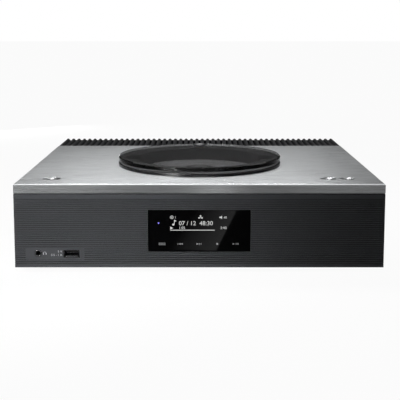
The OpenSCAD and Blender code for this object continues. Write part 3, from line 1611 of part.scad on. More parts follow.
module lan_socket() {
  y1 = rear_y + lan_out;
  color([0.6, 0.6, 0.62]) translate([lan_x, 0, board_top]) difference() {
    span_box([-lan_w / 2, y1 - lan_d, 0], [lan_w / 2, y1, lan_h]);
    span_box([-lan_open_w / 2, y1 - lan_open_d, lan_open_rise],
             [lan_open_w / 2, y1 + over, lan_open_rise + lan_open_h]);
  }
}

module aerial_socket() {
  y1 = rear_y + aerial_len;
  half = aerial_block_w / 2;
  color([0.7, 0.7, 0.72]) translate([aerial_x, 0, 0]) difference() {
    union() {
      span_box([-half, rear_in_y - aerial_block_w, board_top], [half, rear_in_y, aerial_z + half]);
      translate([0, 0, aerial_z]) rod_y(aerial_r + collar_step, rear_in_y - over, rear_y);
      translate([0, 0, aerial_z]) rod_y(aerial_r, rear_in_y, y1);
    }
    translate([0, 0, aerial_z]) rod_y(aerial_bore_r, y1 - aerial_depth, y1 + over);
  }
}

module speaker_posts() {
  color([0.75, 0.65, 0.35])
    for (x = post_xs)
      translate([x, 0, post_z]) difference() {
        union() {
          rod_y(post_r, rear_in_y - post_tail, post_end_y);
          rod_y(post_flange_r, rear_y, post_flange_y);
          rod_y(post_nut_r, rear_in_y - post_nut_t, rear_in_y);
        }
        rod_y(plug_r, post_end_y - plug_depth, post_end_y + over);
      }
}

module post_washer(i) {
  color([0.75, 0.65, 0.35]) translate([post_xs[i - 1], 0, post_z]) difference() {
    rod_y(washer_r, washer_y, washer_y + washer_t);
    rod_y(knob_bore_r, washer_y - over, washer_y + washer_t + over);
  }
}

module post_knob(i) {
  tint = i % 2 == 1 ? [0.6, 0.08, 0.08] : [0.08, 0.08, 0.08];
  color(tint) translate([post_xs[i - 1], 0, post_z]) difference() {
    rod_y(knob_r, knob_y, knob_end_y);
    rod_y(knob_bore_r, knob_y - over, knob_end_y + over);
    for (k = [0 : flute_count - 1])
      rotate([0, k * 360 / flute_count, 0])
        translate([knob_r + flute_r / 2, 0, 0]) rod_y(flute_r, knob_y + washer_t, knob_end_y + over);
  }
}

bottom_chassis();
front_panel();
left_side_panel();
right_side_panel();
rear_panel();
top_plate();
vent_grille();
feet();
screws();
display_window();
display_module();
front_boards();
headphone_jack();
usb_shell();
usb_tongue();
power_button();
volume_down_button();
volume_up_button();
key_boards();
lid_disc();
lid_pivot_shaft();
lid_pivot_cap();
lid_retaining_clip();
lid_stop_arm();
pivot_bush();
disc_well();
disc_bed();
well_trim_ring();
turntable();
turntable_pad();
spindle_shaft();
spindle_motor();
drive_chassis();
damper_grommets();
guide_rails();
pickup_sled();
feed_rack();
lens_holder();
objective_lens();
feed_wheel();
feed_pinion();
motor_pinion();
feed_motor();
main_board();
power_board();
board_components();
amp_heat_sink();
ac_inlet();
phono_sockets();
lan_socket();
aerial_socket();
speaker_posts();
for (i = [1 : 4]) {
  post_washer(i);
  post_knob(i);
}
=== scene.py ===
"""Looks of a top-loading CD receiver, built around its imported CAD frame."""

import json
import math

import bpy
from bpy.props import FloatProperty, FloatVectorProperty, PointerProperty, StringProperty
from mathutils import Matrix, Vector


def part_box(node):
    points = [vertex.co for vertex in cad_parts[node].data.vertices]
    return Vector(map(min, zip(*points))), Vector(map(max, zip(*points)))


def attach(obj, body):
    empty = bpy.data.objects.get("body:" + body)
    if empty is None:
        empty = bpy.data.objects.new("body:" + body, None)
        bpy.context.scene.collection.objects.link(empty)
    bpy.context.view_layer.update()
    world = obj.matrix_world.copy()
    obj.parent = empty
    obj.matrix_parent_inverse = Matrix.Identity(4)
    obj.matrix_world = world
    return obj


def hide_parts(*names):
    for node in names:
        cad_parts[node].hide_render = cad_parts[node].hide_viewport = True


bl_info = {
    "name": "CD Receiver Looks",
    "version": (1, 0, 0),
    "blender": (4, 5, 0),
    "location": "View3D > Sidebar > CD Receiver",
    "description": "Finishes, small fittings and studio stage for a top-loading CD receiver",
    "category": "Object",
}

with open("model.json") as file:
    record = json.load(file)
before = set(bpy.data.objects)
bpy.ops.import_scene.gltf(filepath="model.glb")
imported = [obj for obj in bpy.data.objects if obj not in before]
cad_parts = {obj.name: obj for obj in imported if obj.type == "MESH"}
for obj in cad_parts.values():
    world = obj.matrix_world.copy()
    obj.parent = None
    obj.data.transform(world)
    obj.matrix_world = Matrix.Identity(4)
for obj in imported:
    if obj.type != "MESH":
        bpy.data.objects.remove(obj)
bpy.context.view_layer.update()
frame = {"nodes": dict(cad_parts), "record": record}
MOUNTS = {mount["name"]: mount for mount in frame["record"]["mounts"]}
SLOT_OF_NODE = {part["node"]: part["material_slot"] for part in frame["record"]["subparts"]}
SLOT_COLOUR = {m["slot"]: m["base_color"][:3] for m in frame["record"]["materials"]}

MM = 0.001
WHITE = (1, 1, 1, 1)
SMOOTH_ANGLE = math.radians(35)
GROOVE_DEPTH = 0.5 * MM
SENSOR_WIDTH = 36
FLOOR_SIZE = 24

# How a flat piece, drawn facing up, is turned to face up, forwards, backwards or sideways
UP = (0, 0, 0)
FRONT = (math.pi / 2, 0, 0)
REAR = (math.pi / 2, 0, math.pi)
SIDE = (math.pi / 2, 0, math.pi / 2)

# Cards that show in reflections: name, width and height, place, turn, tone at the left and at the right,
# and True on the one that also takes light
CARDS = (
    ("back_flag", (1.6, 0.095), (0, 0.3, 0.1325), FRONT, (0.02, 0.05)),
    ("sky_flag", (5.0, 1.7), (0, 1.55, 0.9), FRONT, (0.1, 0.1)),
    ("top_flag", (1.2, 0.6), (0, -0.25, 0.9), UP, (1.25, 0.75)),
    ("front_flag", (5.0, 1.6), (0, -1.6, 0.8), FRONT, (0.4, 0.08)),
    ("left_flag", (1.3, 0.5), (-0.85, 0, 0.3), SIDE, (0.03, 0.03)),
    ("right_flag", (1.3, 0.5), (0.85, 0, 0.3), SIDE, (0.03, 0.03)),
    ("side_flag", (0.8, 0.7), (0.42, -0.6, 0.36), SIDE, (0.01, 0.01), True),
    ("floor_flag", (2.4, 1.05), (0, -0.705, 0.001), UP, (0.35, 0.05)),
    ("window_flag", (0.22, 0.235), (0, -0.3525, 0.002), UP, (0.02, 0.02)),
    ("window_card", (0.05, 0.22), (0.0081, -0.3536, 0.003), (0, 0, math.radians(8.4)), (0.0, 1.2)),
)


# Settings

class CameraSettings(bpy.types.PropertyGroup):
    """Where the photograph was taken from."""

    place: FloatVectorProperty(
        name="Place", description="Where the camera stands",
        default=(0.0006, -0.9535, 0.2271), subtype="XYZ", unit="LENGTH")
    tilt: FloatProperty(
        name="Tilt", description="Angle by which the camera looks down",
        default=math.radians(7.46), subtype="ANGLE", unit="ROTATION")
    lens: FloatProperty(
        name="Lens", description="Focal length on a 36 mm sensor", default=78.49, unit="CAMERA")
    shift: FloatProperty(
        name="Shift", description="Vertical lens shift, as a share of the picture", default=-0.15)


class FinishSettings(bpy.types.PropertyGroup):
    """Colours and surface values of the finishes that show most."""

    plate: FloatVectorProperty(
        name="Plate", description="Colour of the brushed aluminium plate",
        default=(0.66, 0.675, 0.685), subtype="COLOR", size=3)
    panel: FloatVectorProperty(
        name="Front panel", description="Colour of the graphite paint",
        default=(0.044, 0.0455, 0.0495), subtype="COLOR", size=3)
    smoke: FloatVectorProperty(
        name="Lid", description="Tint of the smoked acrylic lid",
        default=(0.05, 0.055, 0.07), subtype="COLOR", size=3)
    smoke_density: FloatProperty(
        name="Lid density", description="How fast the lid swallows light, per metre", default=40)
    brush_length: FloatProperty(
        name="Brush length", description="Length of a brushed streak", default=45 * MM, unit="LENGTH")
    brush_width: FloatProperty(
        name="Brush width", description="Width of a brushed streak", default=0.35 * MM, unit="LENGTH")
    grain: FloatProperty(
        name="Grain", description="Size of the grain in paint and moulded plastic",
        default=0.4 * MM, unit="LENGTH")
    lathe_pitch: FloatProperty(
        name="Lathe pitch", description="Distance between turned rings", default=0.18 * MM, unit="LENGTH")


class DisplaySettings(bpy.types.PropertyGroup):
    """What the display shows: plain numbers and common signs."""

    track: StringProperty(
        name="Track", description="Large numbers on the display", default="07 / 12  48:30")
    elapsed: StringProperty(name="Elapsed", description="Time played", default="1:05")
    left: StringProperty(name="Left", description="Time left", default="3:40")
    level: StringProperty(name="Level", description="Volume number", default="40")
    glow: FloatVectorProperty(
        name="Glow", description="Colour of the lit signs",
        default=(0.62, 0.63, 0.62), subtype="COLOR", size=3)
    key_ink: FloatVectorProperty(
        name="Key ink", description="Colour of the touch keys' signs",
        default=(0.2, 0.205, 0.21), subtype="COLOR", size=3)
    status: FloatVectorProperty(
        name="Status light", description="Colour of the status light",
        default=(0.24, 0.2, 0.95), subtype="COLOR", size=3)


class FittingSettings(bpy.types.PropertyGroup):
    """Sizes of the small fittings."""

    print_height: FloatProperty(
        name="Print height", description="Thickness of printed signs", default=0.03 * MM, unit="LENGTH")
    recess_width: FloatProperty(
        name="Recess width", description="Width of a screw's cross recess", default=0.75 * MM, unit="LENGTH")
    recess_span: FloatProperty(
        name="Recess span", description="Length of a screw's cross recess", default=3.0 * MM, unit="LENGTH")
    recess_depth: FloatProperty(
        name="Recess depth", description="Depth of a screw's cross recess", default=1.0 * MM, unit="LENGTH")
    contact_width: FloatProperty(
        name="Contact width", description="Width of a USB contact", default=1.0 * MM, unit="LENGTH")
    wire_width: FloatProperty(
        name="Wire width", description="Width of a network contact", default=0.45 * MM, unit="LENGTH")


class StageSettings(bpy.types.PropertyGroup):
    """Studio light."""

    key_power: FloatProperty(
        name="Key light", description="Power of the soft light at the front left", default=0.34, unit="POWER")
    top_power: FloatProperty(
        name="Top light", description="Power of the soft strip above the plate", default=1.65, unit="POWER")
    rear_power: FloatProperty(
        name="Rear light", description="Power of the low light on the rear panel", default=1.5, unit="POWER")
    ambient: FloatProperty(
        name="Ambient", description="Strength of the light from all round", default=0.2)


# Mesh helpers

def deselect():
    """Leave nothing selected."""
    bpy.ops.object.select_all(action="DESELECT")


def select_only(*pieces):
    """Select these pieces, the first of them active."""
    deselect()
    for piece in pieces:
        piece.select_set(True)
    bpy.context.view_layer.objects.active = pieces[0]


def edit_all():
    """Enter edit mode with the whole mesh selected."""
    bpy.ops.object.mode_set(mode="EDIT")
    bpy.ops.mesh.select_all(action="SELECT")


def leave_edit():
    """Go back to object mode."""
    bpy.ops.object.mode_set(mode="OBJECT")


def pick_faces(piece, test):
    """In edit mode, select just the faces whose normal passes the test."""
    bpy.ops.mesh.select_all(action="DESELECT")
    leave_edit()
    for face in piece.data.polygons:
        face.select = test(face.normal)
    bpy.ops.object.mode_set(mode="EDIT")


def joined(pieces):
    """Join pieces into the first and return it."""
    select_only(*pieces)
    if len(pieces) > 1:
        bpy.ops.object.join()
    return bpy.context.object


def copied(piece):
    """A copy with its own mesh, left as the only selected object."""
    select_only(piece)
    bpy.ops.object.duplicate(linked=False)
    return bpy.context.object


def put(piece, place=(0, 0, 0), turn=UP):
    """Turn and move a piece, and keep its place in its mesh."""
    select_only(piece)
    piece.rotation_euler = turn
    piece.location = place
    bpy.ops.object.transform_apply(location=True, rotation=True, scale=True)
    return piece


def fit_out(piece, name, body, material):
    """Name a finished piece, give it its finish and let it ride on its body."""
    piece.name = name
    piece.data.name = name
    piece.data.materials.clear()
    piece.data.materials.append(material)
    select_only(piece)
    bpy.ops.object.shade_smooth_by_angle(angle=SMOOTH_ANGLE)
    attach(piece, body)


def turned(profile, sides=40, bored=False):
    """Turn a form about Z from (radius, height) points in mm; a bored one closes on its first point."""
    profile = [(radius * MM, height * MM) for radius, height in profile]
    radius, height = profile[0]
    deselect()
    bpy.ops.mesh.primitive_circle_add(
        vertices=sides, radius=radius, fill_type="NOTHING" if bored else "NGON", location=(0, 0, height))
    piece = bpy.context.object
    bpy.ops.object.transform_apply(location=True)
    edit_all()
    for (r0, h0), (r1, h1) in zip(profile, profile[1:]):
        bpy.ops.mesh.extrude_region_move(TRANSFORM_OT_translate={"value": (0, 0, h1 - h0)})
        bpy.ops.transform.resize(value=(r1 / r0, r1 / r0, 1), center_override=(0, 0, h1))
    if bored:
        bpy.ops.mesh.select_all(action="DESELECT")
        bpy.ops.mesh.select_mode(type="EDGE")
        bpy.ops.mesh.select_non_manifold()
        bpy.ops.mesh.bridge_edge_loops()
        bpy.ops.mesh.select_mode(type="VERT")
    bpy.ops.mesh.select_all(action="SELECT")
    bpy.ops.mesh.normals_make_consistent(inside=False)
    leave_edit()
    return piece


def bevelled_ring(outer, inner, foot, top, outside, inside):
    """A ring in mm between two radii and two heights; a bevel is given as how far across and down it goes."""
    return turned([
        (outer, foot), (outer, top - outside[1]), (outer - outside[0], top),
        (inner + inside[0], top), (inner, top - inside[1]), (inner, foot)], bored=True)


def block(low, high, edge):
    """A block between two corners with its edges rounded off."""
    deselect()
    low = Vector(low)
    high = Vector(high)
    bpy.ops.mesh.primitive_cube_add(size=1, location=(low + high) / 2, scale=high - low)
    bpy.ops.object.transform_apply(location=True, rotation=True, scale=True)
    edit_all()
    bpy.ops.mesh.bevel(offset=edge, segments=2, affect="EDGES")
    leave_edit()
    return bpy.context.object


# Flat signs, drawn as the viewer sees them: x to the right and y upwards, in metres

def tile(x0, x1, y0, y1):
    """A flat bar."""
    deselect()
    bpy.ops.mesh.primitive_plane_add(size=1, location=((x0 + x1) / 2, (y0 + y1) / 2, 0))
    bpy.context.object.scale = (x1 - x0, y1 - y0, 1)
    bpy.ops.object.transform_apply(location=True, rotation=True, scale=True)
    return bpy.context.object


def arrow(x, y, width, height, way=1):
    """A flat triangle whose base middle is at (x, y), pointing right, or left with way -1."""
    piece = tile(x, x + width, y - height / 2, y + height / 2)
    bpy.ops.object.mode_set(mode="EDIT")
    bpy.ops.mesh.select_all(action="DESELECT")
    leave_edit()
    for corner in piece.data.vertices:
        corner.select = corner.co.x > x + width / 2
    bpy.ops.object.mode_set(mode="EDIT")
    bpy.ops.mesh.merge(type="CENTER")
    bpy.ops.mesh.select_all(action="SELECT")
    if way < 0:
        bpy.ops.transform.rotate(value=math.pi, orient_axis="Z", center_override=(x, y, 0))
    leave_edit()
    return piece


def dot(x, y, radius, sides=20):
    """A flat disc."""
    deselect()
    bpy.ops.mesh.primitive_circle_add(vertices=sides, radius=radius, fill_type="NGON", location=(x, y, 0))
    bpy.ops.object.transform_apply(location=True)
    return bpy.context.object


def hollowed(piece, width):
    """Keep only a line of this width along a flat sign's edge."""
    edit_all()
    bpy.ops.mesh.inset(thickness=width, depth=0)
    bpy.ops.mesh.delete(type="FACE")
    leave_edit()
    return piece


def hoop(x, y, radius, width, half=False):
    """A flat ring; a half ring keeps its upper half."""
    piece = hollowed(dot(x, y, radius, sides=32), width)
    if half:
        edit_all()
        bpy.ops.mesh.bisect(plane_co=(x, y, 0), plane_no=(0, 1, 0), clear_inner=True)
        leave_edit()
    return piece


def outline(x0, x1, y0, y1, width):
    """A flat rectangular line."""
    return hollowed(tile(x0, x1, y0, y1), width)


def label(text, x, y, size, align="LEFT"):
    """Flat figures whose foot is at y."""
    deselect()
    bpy.ops.object.text_add(location=(0, 0, 0))
    words = bpy.context.object
    words.data.body = text
    words.data.size = size
    words.data.align_x = align
    words.data.resolution_u = 4
    bpy.ops.object.convert(target="MESH")
    piece = bpy.context.object
    piece.location = (x, y, 0)
    bpy.ops.object.transform_apply(location=True)
    return piece


def printed(signs, place, turn):
    """Join flat signs, give them the print's thickness and stand them on their face."""
    height = bpy.context.scene.receiver_fittings.print_height
    sheet = joined(signs)
    edit_all()
    bpy.ops.mesh.normals_make_consistent(inside=False)
    bpy.ops.mesh.extrude_region_move(TRANSFORM_OT_translate={"value": (0, 0, height)})
    bpy.ops.mesh.select_all(action="SELECT")
    bpy.ops.mesh.normals_make_consistent(inside=False)
    leave_edit()
    return put(sheet, place, turn)


# Shader helpers

def feed(tree, inputs, feeds):
    """Give each input its value, or link the socket that feeds it."""
    for key, value in feeds.items():
        if isinstance(value, bpy.types.NodeSocket):
            tree.links.new(value, inputs[key])
        else:
            inputs[key].default_value = value


def add(tree, kind, feeds=None, **settings):
    """Add a shader node with its settings, and feed its inputs."""
    made = tree.nodes.new("ShaderNode" + kind)
    for key, value in settings.items():
        setattr(made, key, value)
    feed(tree, made.inputs, feeds or {})
    return made


def own_place(tree):
    """A point's place in its own piece."""
    return add(tree, "TexCoord").outputs["Object"]


def calc(tree, operation, first, second, clamp=False):
    """The result of a Math node."""
    return add(tree, "Math", {0: first, 1: second}, operation=operation, use_clamp=clamp).outputs[0]


def vector(tree, operation, first, second):
    """The result of a Vector Math node."""
    return add(tree, "VectorMath", {0: first, 1: second}, operation=operation).outputs[0]


def spread(tree, value, low, high):
    """A mask that runs from 0 to 1 as a value goes from low to high."""
    return add(tree, "MapRange", {"Value": value, "From Min": low, "From Max": high}).outputs["Result"]


def vary(tree, mask, low, high):
    """A value that runs from low to high over a mask."""
    return add(tree, "MapRange", {"Value": mask, "To Min": low, "To Max": high}).outputs["Result"]


def tint(tree, mask, first, second):
    """A colour that runs over a mask from the first, a colour or a socket, to the second."""
    start = first if isinstance(first, bpy.types.NodeSocket) else (*first, 1)
    return add(tree, "Mix", {0: mask, 6: start, 7: (*second, 1)}, data_type="RGBA").outputs[2]


def scaled(colour, share):
    """A colour made darker or lighter."""
    return tuple(min(1.0, channel * share) for channel in colour)


def patches(tree, count):
    """Patches of one tone each, so many along a metre."""
    cells = add(tree, "TexVoronoi", {"Vector": own_place(tree), "Scale": count}).outputs["Color"]
    return add(tree, "SeparateColor", {0: cells}).outputs[0]


def new_group(name, inputs, outputs):
    """A shader node group with its sockets: its tree, what it is given and what it puts out."""
    tree = bpy.data.node_groups.new(name, "ShaderNodeTree")
    for socket, value in inputs.items():
        kind = "NodeSocketFloat" if isinstance(value, float) else "NodeSocketVector"
        tree.interface.new_socket(socket, in_out="INPUT", socket_type=kind).default_value = value
    for socket, kind in outputs.items():
        tree.interface.new_socket(socket, in_out="OUTPUT", socket_type=kind)
    return tree, tree.nodes.new("NodeGroupInput").outputs, tree.nodes.new("NodeGroupOutput").inputs


def effect(tree, name, **values):
    """Place a node group in a material with its own values, and return its outputs."""
    made = tree.nodes.new("ShaderNodeGroup")
    made.node_tree = bpy.data.node_groups[name]
    feed(tree, made.inputs, values)
    return made.outputs


def make_grain():
    """Fine even grain, as in paint and moulded plastic."""
    tree, given, result = new_group("Grain", {"Size": 0.4 * MM}, {"Mask": "NodeSocketFloat"})
    scale = calc(tree, "DIVIDE", 1.0, given["Size"])
    feeds = {"Vector": own_place(tree), "Scale": scale, "Detail": 2.0, "Roughness": 0.55}
    noise = add(tree, "TexNoise", feeds).outputs[0]
    feed(tree, result, {"Mask": spread(tree, noise, 0.3, 0.7)})


def make_handling():
    """Broad soft patches, as handling leaves on a finish."""
    tree, given, result = new_group("Handling", {"Size": 60 * MM}, {"Mask": "NodeSocketFloat"})
    scale = calc(tree, "DIVIDE", 1.0, given["Size"])
    feeds = {"Vector": own_place(tree), "Scale": scale, "Detail": 5.0, "Distortion": 0.6}
    noise = add(tree, "TexNoise", feeds).outputs[0]
    feed(tree, result, {"Mask": spread(tree, noise, 0.42, 0.72)})


def make_brushing():
    """Streaks along X, as a brushing belt leaves them: fine ones, and broad ones that hold their tone."""
    tree, given, result = new_group(
        "Brushing", {"Length": 45 * MM, "Width": 0.35 * MM},
        {"Fine": "NodeSocketFloat", "Broad": "NodeSocketFloat"})
    along = calc(tree, "DIVIDE", 1.0, given["Length"])
    across = calc(tree, "DIVIDE", 1.0, given["Width"])
    pace = add(tree, "CombineXYZ", {"X": along, "Y": across, "Z": across}).outputs[0]
    drawn = vector(tree, "MULTIPLY", own_place(tree), pace)
    for key, scale in (("Fine", 1.0), ("Broad", 0.3)):
        feeds = {"Vector": drawn, "Scale": scale, "Detail": 3.0, "Roughness": 0.6}
        noise = add(tree, "TexNoise", feeds).outputs[0]
        feed(tree, result, {key: spread(tree, noise, 0.3, 0.7)})


def make_turning():
    """Turned rings about an axis: Keep is 1 across the axis and 0 along it."""
    tree, given, result = new_group(
        "Turning", {"Centre": (0.0, 0.0, 0.0), "Keep": (1.0, 1.0, 0.0), "Pitch": 0.2 * MM},
        {"Mask": "NodeSocketFloat"})
    offset = vector(tree, "SUBTRACT", own_place(tree), given["Centre"])
    flat = vector(tree, "MULTIPLY", offset, given["Keep"])
    radius = add(tree, "VectorMath", {0: flat}, operation="LENGTH").outputs["Value"]
    step = calc(tree, "DIVIDE", radius, given["Pitch"])
    feeds = {"W": step, "Scale": 1.0, "Detail": 2.0}
    noise = add(tree, "TexNoise", feeds, noise_dimensions="1D").outputs[0]
    feed(tree, result, {"Mask": spread(tree, noise, 0.3, 0.7)})


def make_edges():
    """Edges: a mask that is 1 where a surface turns sharply, and the rounded normal there."""
    tree, given, result = new_group(
        "Edges", {"Radius": 0.4 * MM}, {"Mask": "NodeSocketFloat", "Normal": "NodeSocketVector"})
    rounded = add(tree, "Bevel", {"Radius": given["Radius"]}, samples=4).outputs[0]
    flat = add(tree, "NewGeometry").outputs["Normal"]
    match = add(tree, "VectorMath", {0: rounded, 1: flat}, operation="DOT_PRODUCT").outputs["Value"]
    feed(tree, result, {"Mask": spread(tree, match, 0.99, 0.85), "Normal": rounded})


def make_traces():
    """Copper runs and pads of a circuit board."""
    tree, given, result = new_group("Traces", {"Pitch": 2.5 * MM}, {"Mask": "NodeSocketFloat"})
    scale = calc(tree, "DIVIDE", 1.0, given["Pitch"])
    runs = add(tree, "TexVoronoi", {"Vector": own_place(tree), "Scale": scale}, distance="MANHATTAN")
    feed(tree, result, {"Mask": spread(tree, runs.outputs["Distance"], 0.32, 0.36)})


def skin(name):
    """A new material, its node tree and the inputs of its Principled shader."""
    material = bpy.data.materials.new(name)
    material.use_nodes = True
    tree = material.node_tree
    return material, tree, tree.nodes["Principled BSDF"].inputs


def bump(tree, mask, distance, normal=None):
    """A normal that rises and falls with a mask by a distance in metres."""
    feeds = {"Height": mask, "Distance": distance}
    if normal is not None:
        feeds["Normal"] = normal
    return add(tree, "Bump", feeds).outputs[0]


# Finishes

def painted(name, colour, roughness, specular=0.35, front=None):
    """Paint with grain and handling marks, edges lighter by wear and a painted highlight, painted shade in
    grooves behind a front face.
    """
    material, tree, into = skin(name)
    grain = effect(tree, "Grain", Size=bpy.context.scene.receiver_finish.grain)["Mask"]
    marks = effect(tree, "Handling", Size=70 * MM)["Mask"]
    edge = effect(tree, "Edges", Radius=0.4 * MM)
    face = tint(tree, grain, scaled(colour, 0.9), scaled(colour, 1.1))
    # Edges made lighter: partly wear, partly a painted highlight where an edge would catch the light
    coat = tint(tree, calc(tree, "MULTIPLY", edge["Mask"], 0.5), face, scaled(colour, 2.2))
    # Painted shade: grooves and openings deeper than the front face are darkened as if in shadow
    if front is not None:
        depth = add(tree, "SeparateXYZ", {0: own_place(tree)}).outputs["Y"]
        coat = tint(tree, spread(tree, depth, front, front + GROOVE_DEPTH), coat, scaled(colour, 0.3))
    feed(tree, into, {
        "Base Color": coat,
        "Roughness": vary(tree, marks, roughness, roughness * 0.86),
        "Normal": bump(tree, grain, 0.006 * MM, edge["Normal"]),
        "Specular IOR Level": specular,
    })
    return material


def moulded(name, colour, roughness, specular=0.4):
    """Moulded plastic with an even fine texture."""
    material, tree, into = skin(name)
    grain = effect(tree, "Grain", Size=0.55 * MM)["Mask"]
    marks = effect(tree, "Handling", Size=25 * MM)["Mask"]
    feed(tree, into, {
        "Base Color": tint(tree, grain, scaled(colour, 0.92), scaled(colour, 1.08)),
        "Roughness": vary(tree, marks, roughness, roughness * 0.8),
        "Normal": bump(tree, grain, 0.008 * MM),
        "Specular IOR Level": specular,
    })
    return material


def rubber(name, colour):
    """Matt rubber, a little dusty."""
    material, tree, into = skin(name)
    grain = effect(tree, "Grain", Size=0.3 * MM)["Mask"]
    dust = effect(tree, "Handling", Size=8 * MM)["Mask"]
    feed(tree, into, {
        "Base Color": tint(tree, dust, colour, scaled(colour, 1.7)),
        "Roughness": vary(tree, grain, 0.78, 0.92),
        "Normal": bump(tree, grain, 0.012 * MM),
        "Specular IOR Level": 0.25,
    })
    return material


def plated(name, colour, roughness):
    """Plated metal with fine scratches, handling marks and rounded edges."""
    material, tree, into = skin(name)
    scratch = effect(tree, "Brushing", Length=9 * MM, Width=0.12 * MM)["Fine"]
    marks = effect(tree, "Handling", Size=6 * MM)["Mask"]
    edge = effect(tree, "Edges", Radius=0.15 * MM)
    feed(tree, into, {
        "Base Color": tint(tree, marks, colour, scaled(colour, 0.82)),
        "Roughness": vary(tree, scratch, roughness * 0.8, roughness * 1.3),
        "Normal": bump(tree, scratch, 0.001 * MM, edge["Normal"]),
        "Metallic": 1,
    })
    return material


def brushed(name, colour, roughness):
    """Metal brushed along the width: its highlights spread across the streaks, and its edges carry a painted
    highlight.
    """
    settings = bpy.context.scene.receiver_finish
    material, tree, into = skin(name)
    streak = effect(tree, "Brushing", Length=settings.brush_length, Width=settings.brush_width)
    marks = effect(tree, "Handling", Size=90 * MM)["Mask"]
    edge = effect(tree, "Edges", Radius=0.5 * MM)
    face = tint(tree, streak["Broad"], scaled(colour, 0.86), scaled(colour, 1.1))
    tooth = vary(tree, streak["Fine"], roughness * 0.85, roughness * 1.15)
    polish = calc(tree, "MULTIPLY", marks, -0.012)
    feed(tree, into, {
        # Painted highlight: the edges are made lighter where they would catch the light
        "Base Color": tint(tree, edge["Mask"], face, scaled(colour, 1.15)),
        "Roughness": calc(tree, "ADD", tooth, polish),
        "Normal": bump(tree, streak["Fine"], 0.0022 * MM, edge["Normal"]),
        "Tangent": add(tree, "CombineXYZ", {"X": 0.02, "Y": 1.0, "Z": 1.0}).outputs[0],
        "Anisotropic": 0.75,
        "Metallic": 1,
    })
    return material


def spun(name, colour, roughness, centre):
    """Metal turned on a lathe about an upright axis through a centre."""
    material, tree, into = skin(name)
    level = (1, 1, 0)
    pitch = bpy.context.scene.receiver_finish.lathe_pitch
    ring = effect(tree, "Turning", Centre=centre, Keep=level, Pitch=pitch)["Mask"]
    marks = effect(tree, "Handling", Size=9 * MM)["Mask"]
    spoke = vector(tree, "MULTIPLY", vector(tree, "SUBTRACT", own_place(tree), centre), level)
    feed(tree, into, {
        "Base Color": tint(tree, ring, scaled(colour, 0.88), scaled(colour, 1.06)),
        "Roughness": vary(tree, marks, roughness, roughness * 0.85),
        "Normal": bump(tree, ring, 0.0015 * MM),
        "Tangent": add(tree, "VectorMath", {0: spoke}, operation="NORMALIZE").outputs[0],
        "Anisotropic": 0.95,
        "Metallic": 1,
    })
    return material


def galvanised(name, colour):
    """Zinc plated sheet with its large soft crystals."""
    material, tree, into = skin(name)
    tone = patches(tree, 220.0)
    feed(tree, into, {
        "Base Color": tint(tree, tone, scaled(colour, 1.6), scaled(colour, 2.4)),
        "Roughness": vary(tree, tone, 0.3, 0.5),
        "Metallic": 1,
    })
    return material


def circuit_board(name, colour):
    """Lacquered board with copper runs under the lacquer."""
    material, tree, into = skin(name)
    runs = effect(tree, "Traces", Pitch=2.6 * MM)["Mask"]
    grain = effect(tree, "Grain", Size=0.3 * MM)["Mask"]
    feed(tree, into, {
        "Base Color": tint(tree, runs, scaled(colour, 1.7), colour),
        "Roughness": vary(tree, grain, 0.3, 0.42),
        "Normal": bump(tree, runs, 0.03 * MM),
    })
    return material


def components(name, colour):
    """Parts on the boards: sleeves, cases and cans that differ in tone."""
    material, tree, into = skin(name)
    tone = patches(tree, 55.0)
    grain = effect(tree, "Grain", Size=0.3 * MM)["Mask"]
    feed(tree, into, {
        "Base Color": tint(tree, tone, colour, scaled(colour, 4)),
        "Roughness": vary(tree, grain, 0.35, 0.5),
    })
    return material


def black_acrylic(name, colour):
    """Polished black acrylic with a faint haze from wiping and little glare."""
    material, tree, into = skin(name)
    wipe = effect(tree, "Brushing", Length=30 * MM, Width=3 * MM)["Broad"]
    feed(tree, into, {
        "Base Color": tint(tree, wipe, colour, scaled(colour, 1.3)),
        "Roughness": vary(tree, wipe, 0.03, 0.055),
        "Specular IOR Level": 0.2,
    })
    return material


def smoked_acrylic(name, colour, density):
    """Smoked acrylic that swallows light along its depth, with faint polishing marks."""
    material, tree, into = skin(name)
    marks = effect(tree, "Handling", Size=40 * MM)["Mask"]
    feed(tree, into, {
        "Base Color": tint(tree, marks, (0.97, 0.97, 0.97), (0.93, 0.93, 0.93)),
        "Roughness": vary(tree, marks, 0.008, 0.02),
        "Transmission Weight": 1,
        "IOR": 1.49,
    })
    smoke = add(tree, "VolumeAbsorption", {"Color": (*colour, 1), "Density": density}).outputs[0]
    feed(tree, tree.nodes["Material Output"].inputs, {"Volume": smoke})
    return material


def coated_lens(name, colour):
    """Small glass lens with a blue coating."""
    material, tree, into = skin(name)
    marks = effect(tree, "Handling", Size=2 * MM)["Mask"]
    feed(tree, into, {
        "Base Color": tint(tree, marks, scaled(colour, 2), scaled(colour, 1.8)),
        "Roughness": vary(tree, marks, 0.02, 0.04),
        "Transmission Weight": 0.85,
        "IOR": 1.52,
        "Coat Weight": 1,
        "Coat Tint": (0.5, 0.6, 1, 1),
    })
    return material


def gloss_plastic(name, colour):
    """Glossy moulded plastic with rounded edges and faint swirls."""
    material, tree, into = skin(name)
    marks = effect(tree, "Handling", Size=5 * MM)["Mask"]
    feed(tree, into, {
        "Base Color": tint(tree, marks, colour, scaled(colour, 1.25)),
        "Roughness": vary(tree, marks, 0.16, 0.28),
        "Normal": effect(tree, "Edges", Radius=0.25 * MM)["Normal"],
        "Coat Weight": 0.4,
    })
    return material


def lit_sign(name, colour, strength):
    """A lit sign: a fine dot raster that glows."""
    material, tree, into = skin(name)
    raster = effect(tree, "Grain", Size=0.25 * MM)["Mask"]
    feed(tree, into, {
        "Emission Color": tint(tree, raster, scaled(colour, 0.85), colour),
        "Base Color": tint(tree, raster, (0.05, 0.05, 0.05), (0.08, 0.08, 0.08)),
        "Roughness": 0.4,
        "Specular IOR Level": 0.1,
        "Emission Strength": strength,
    })
    return material


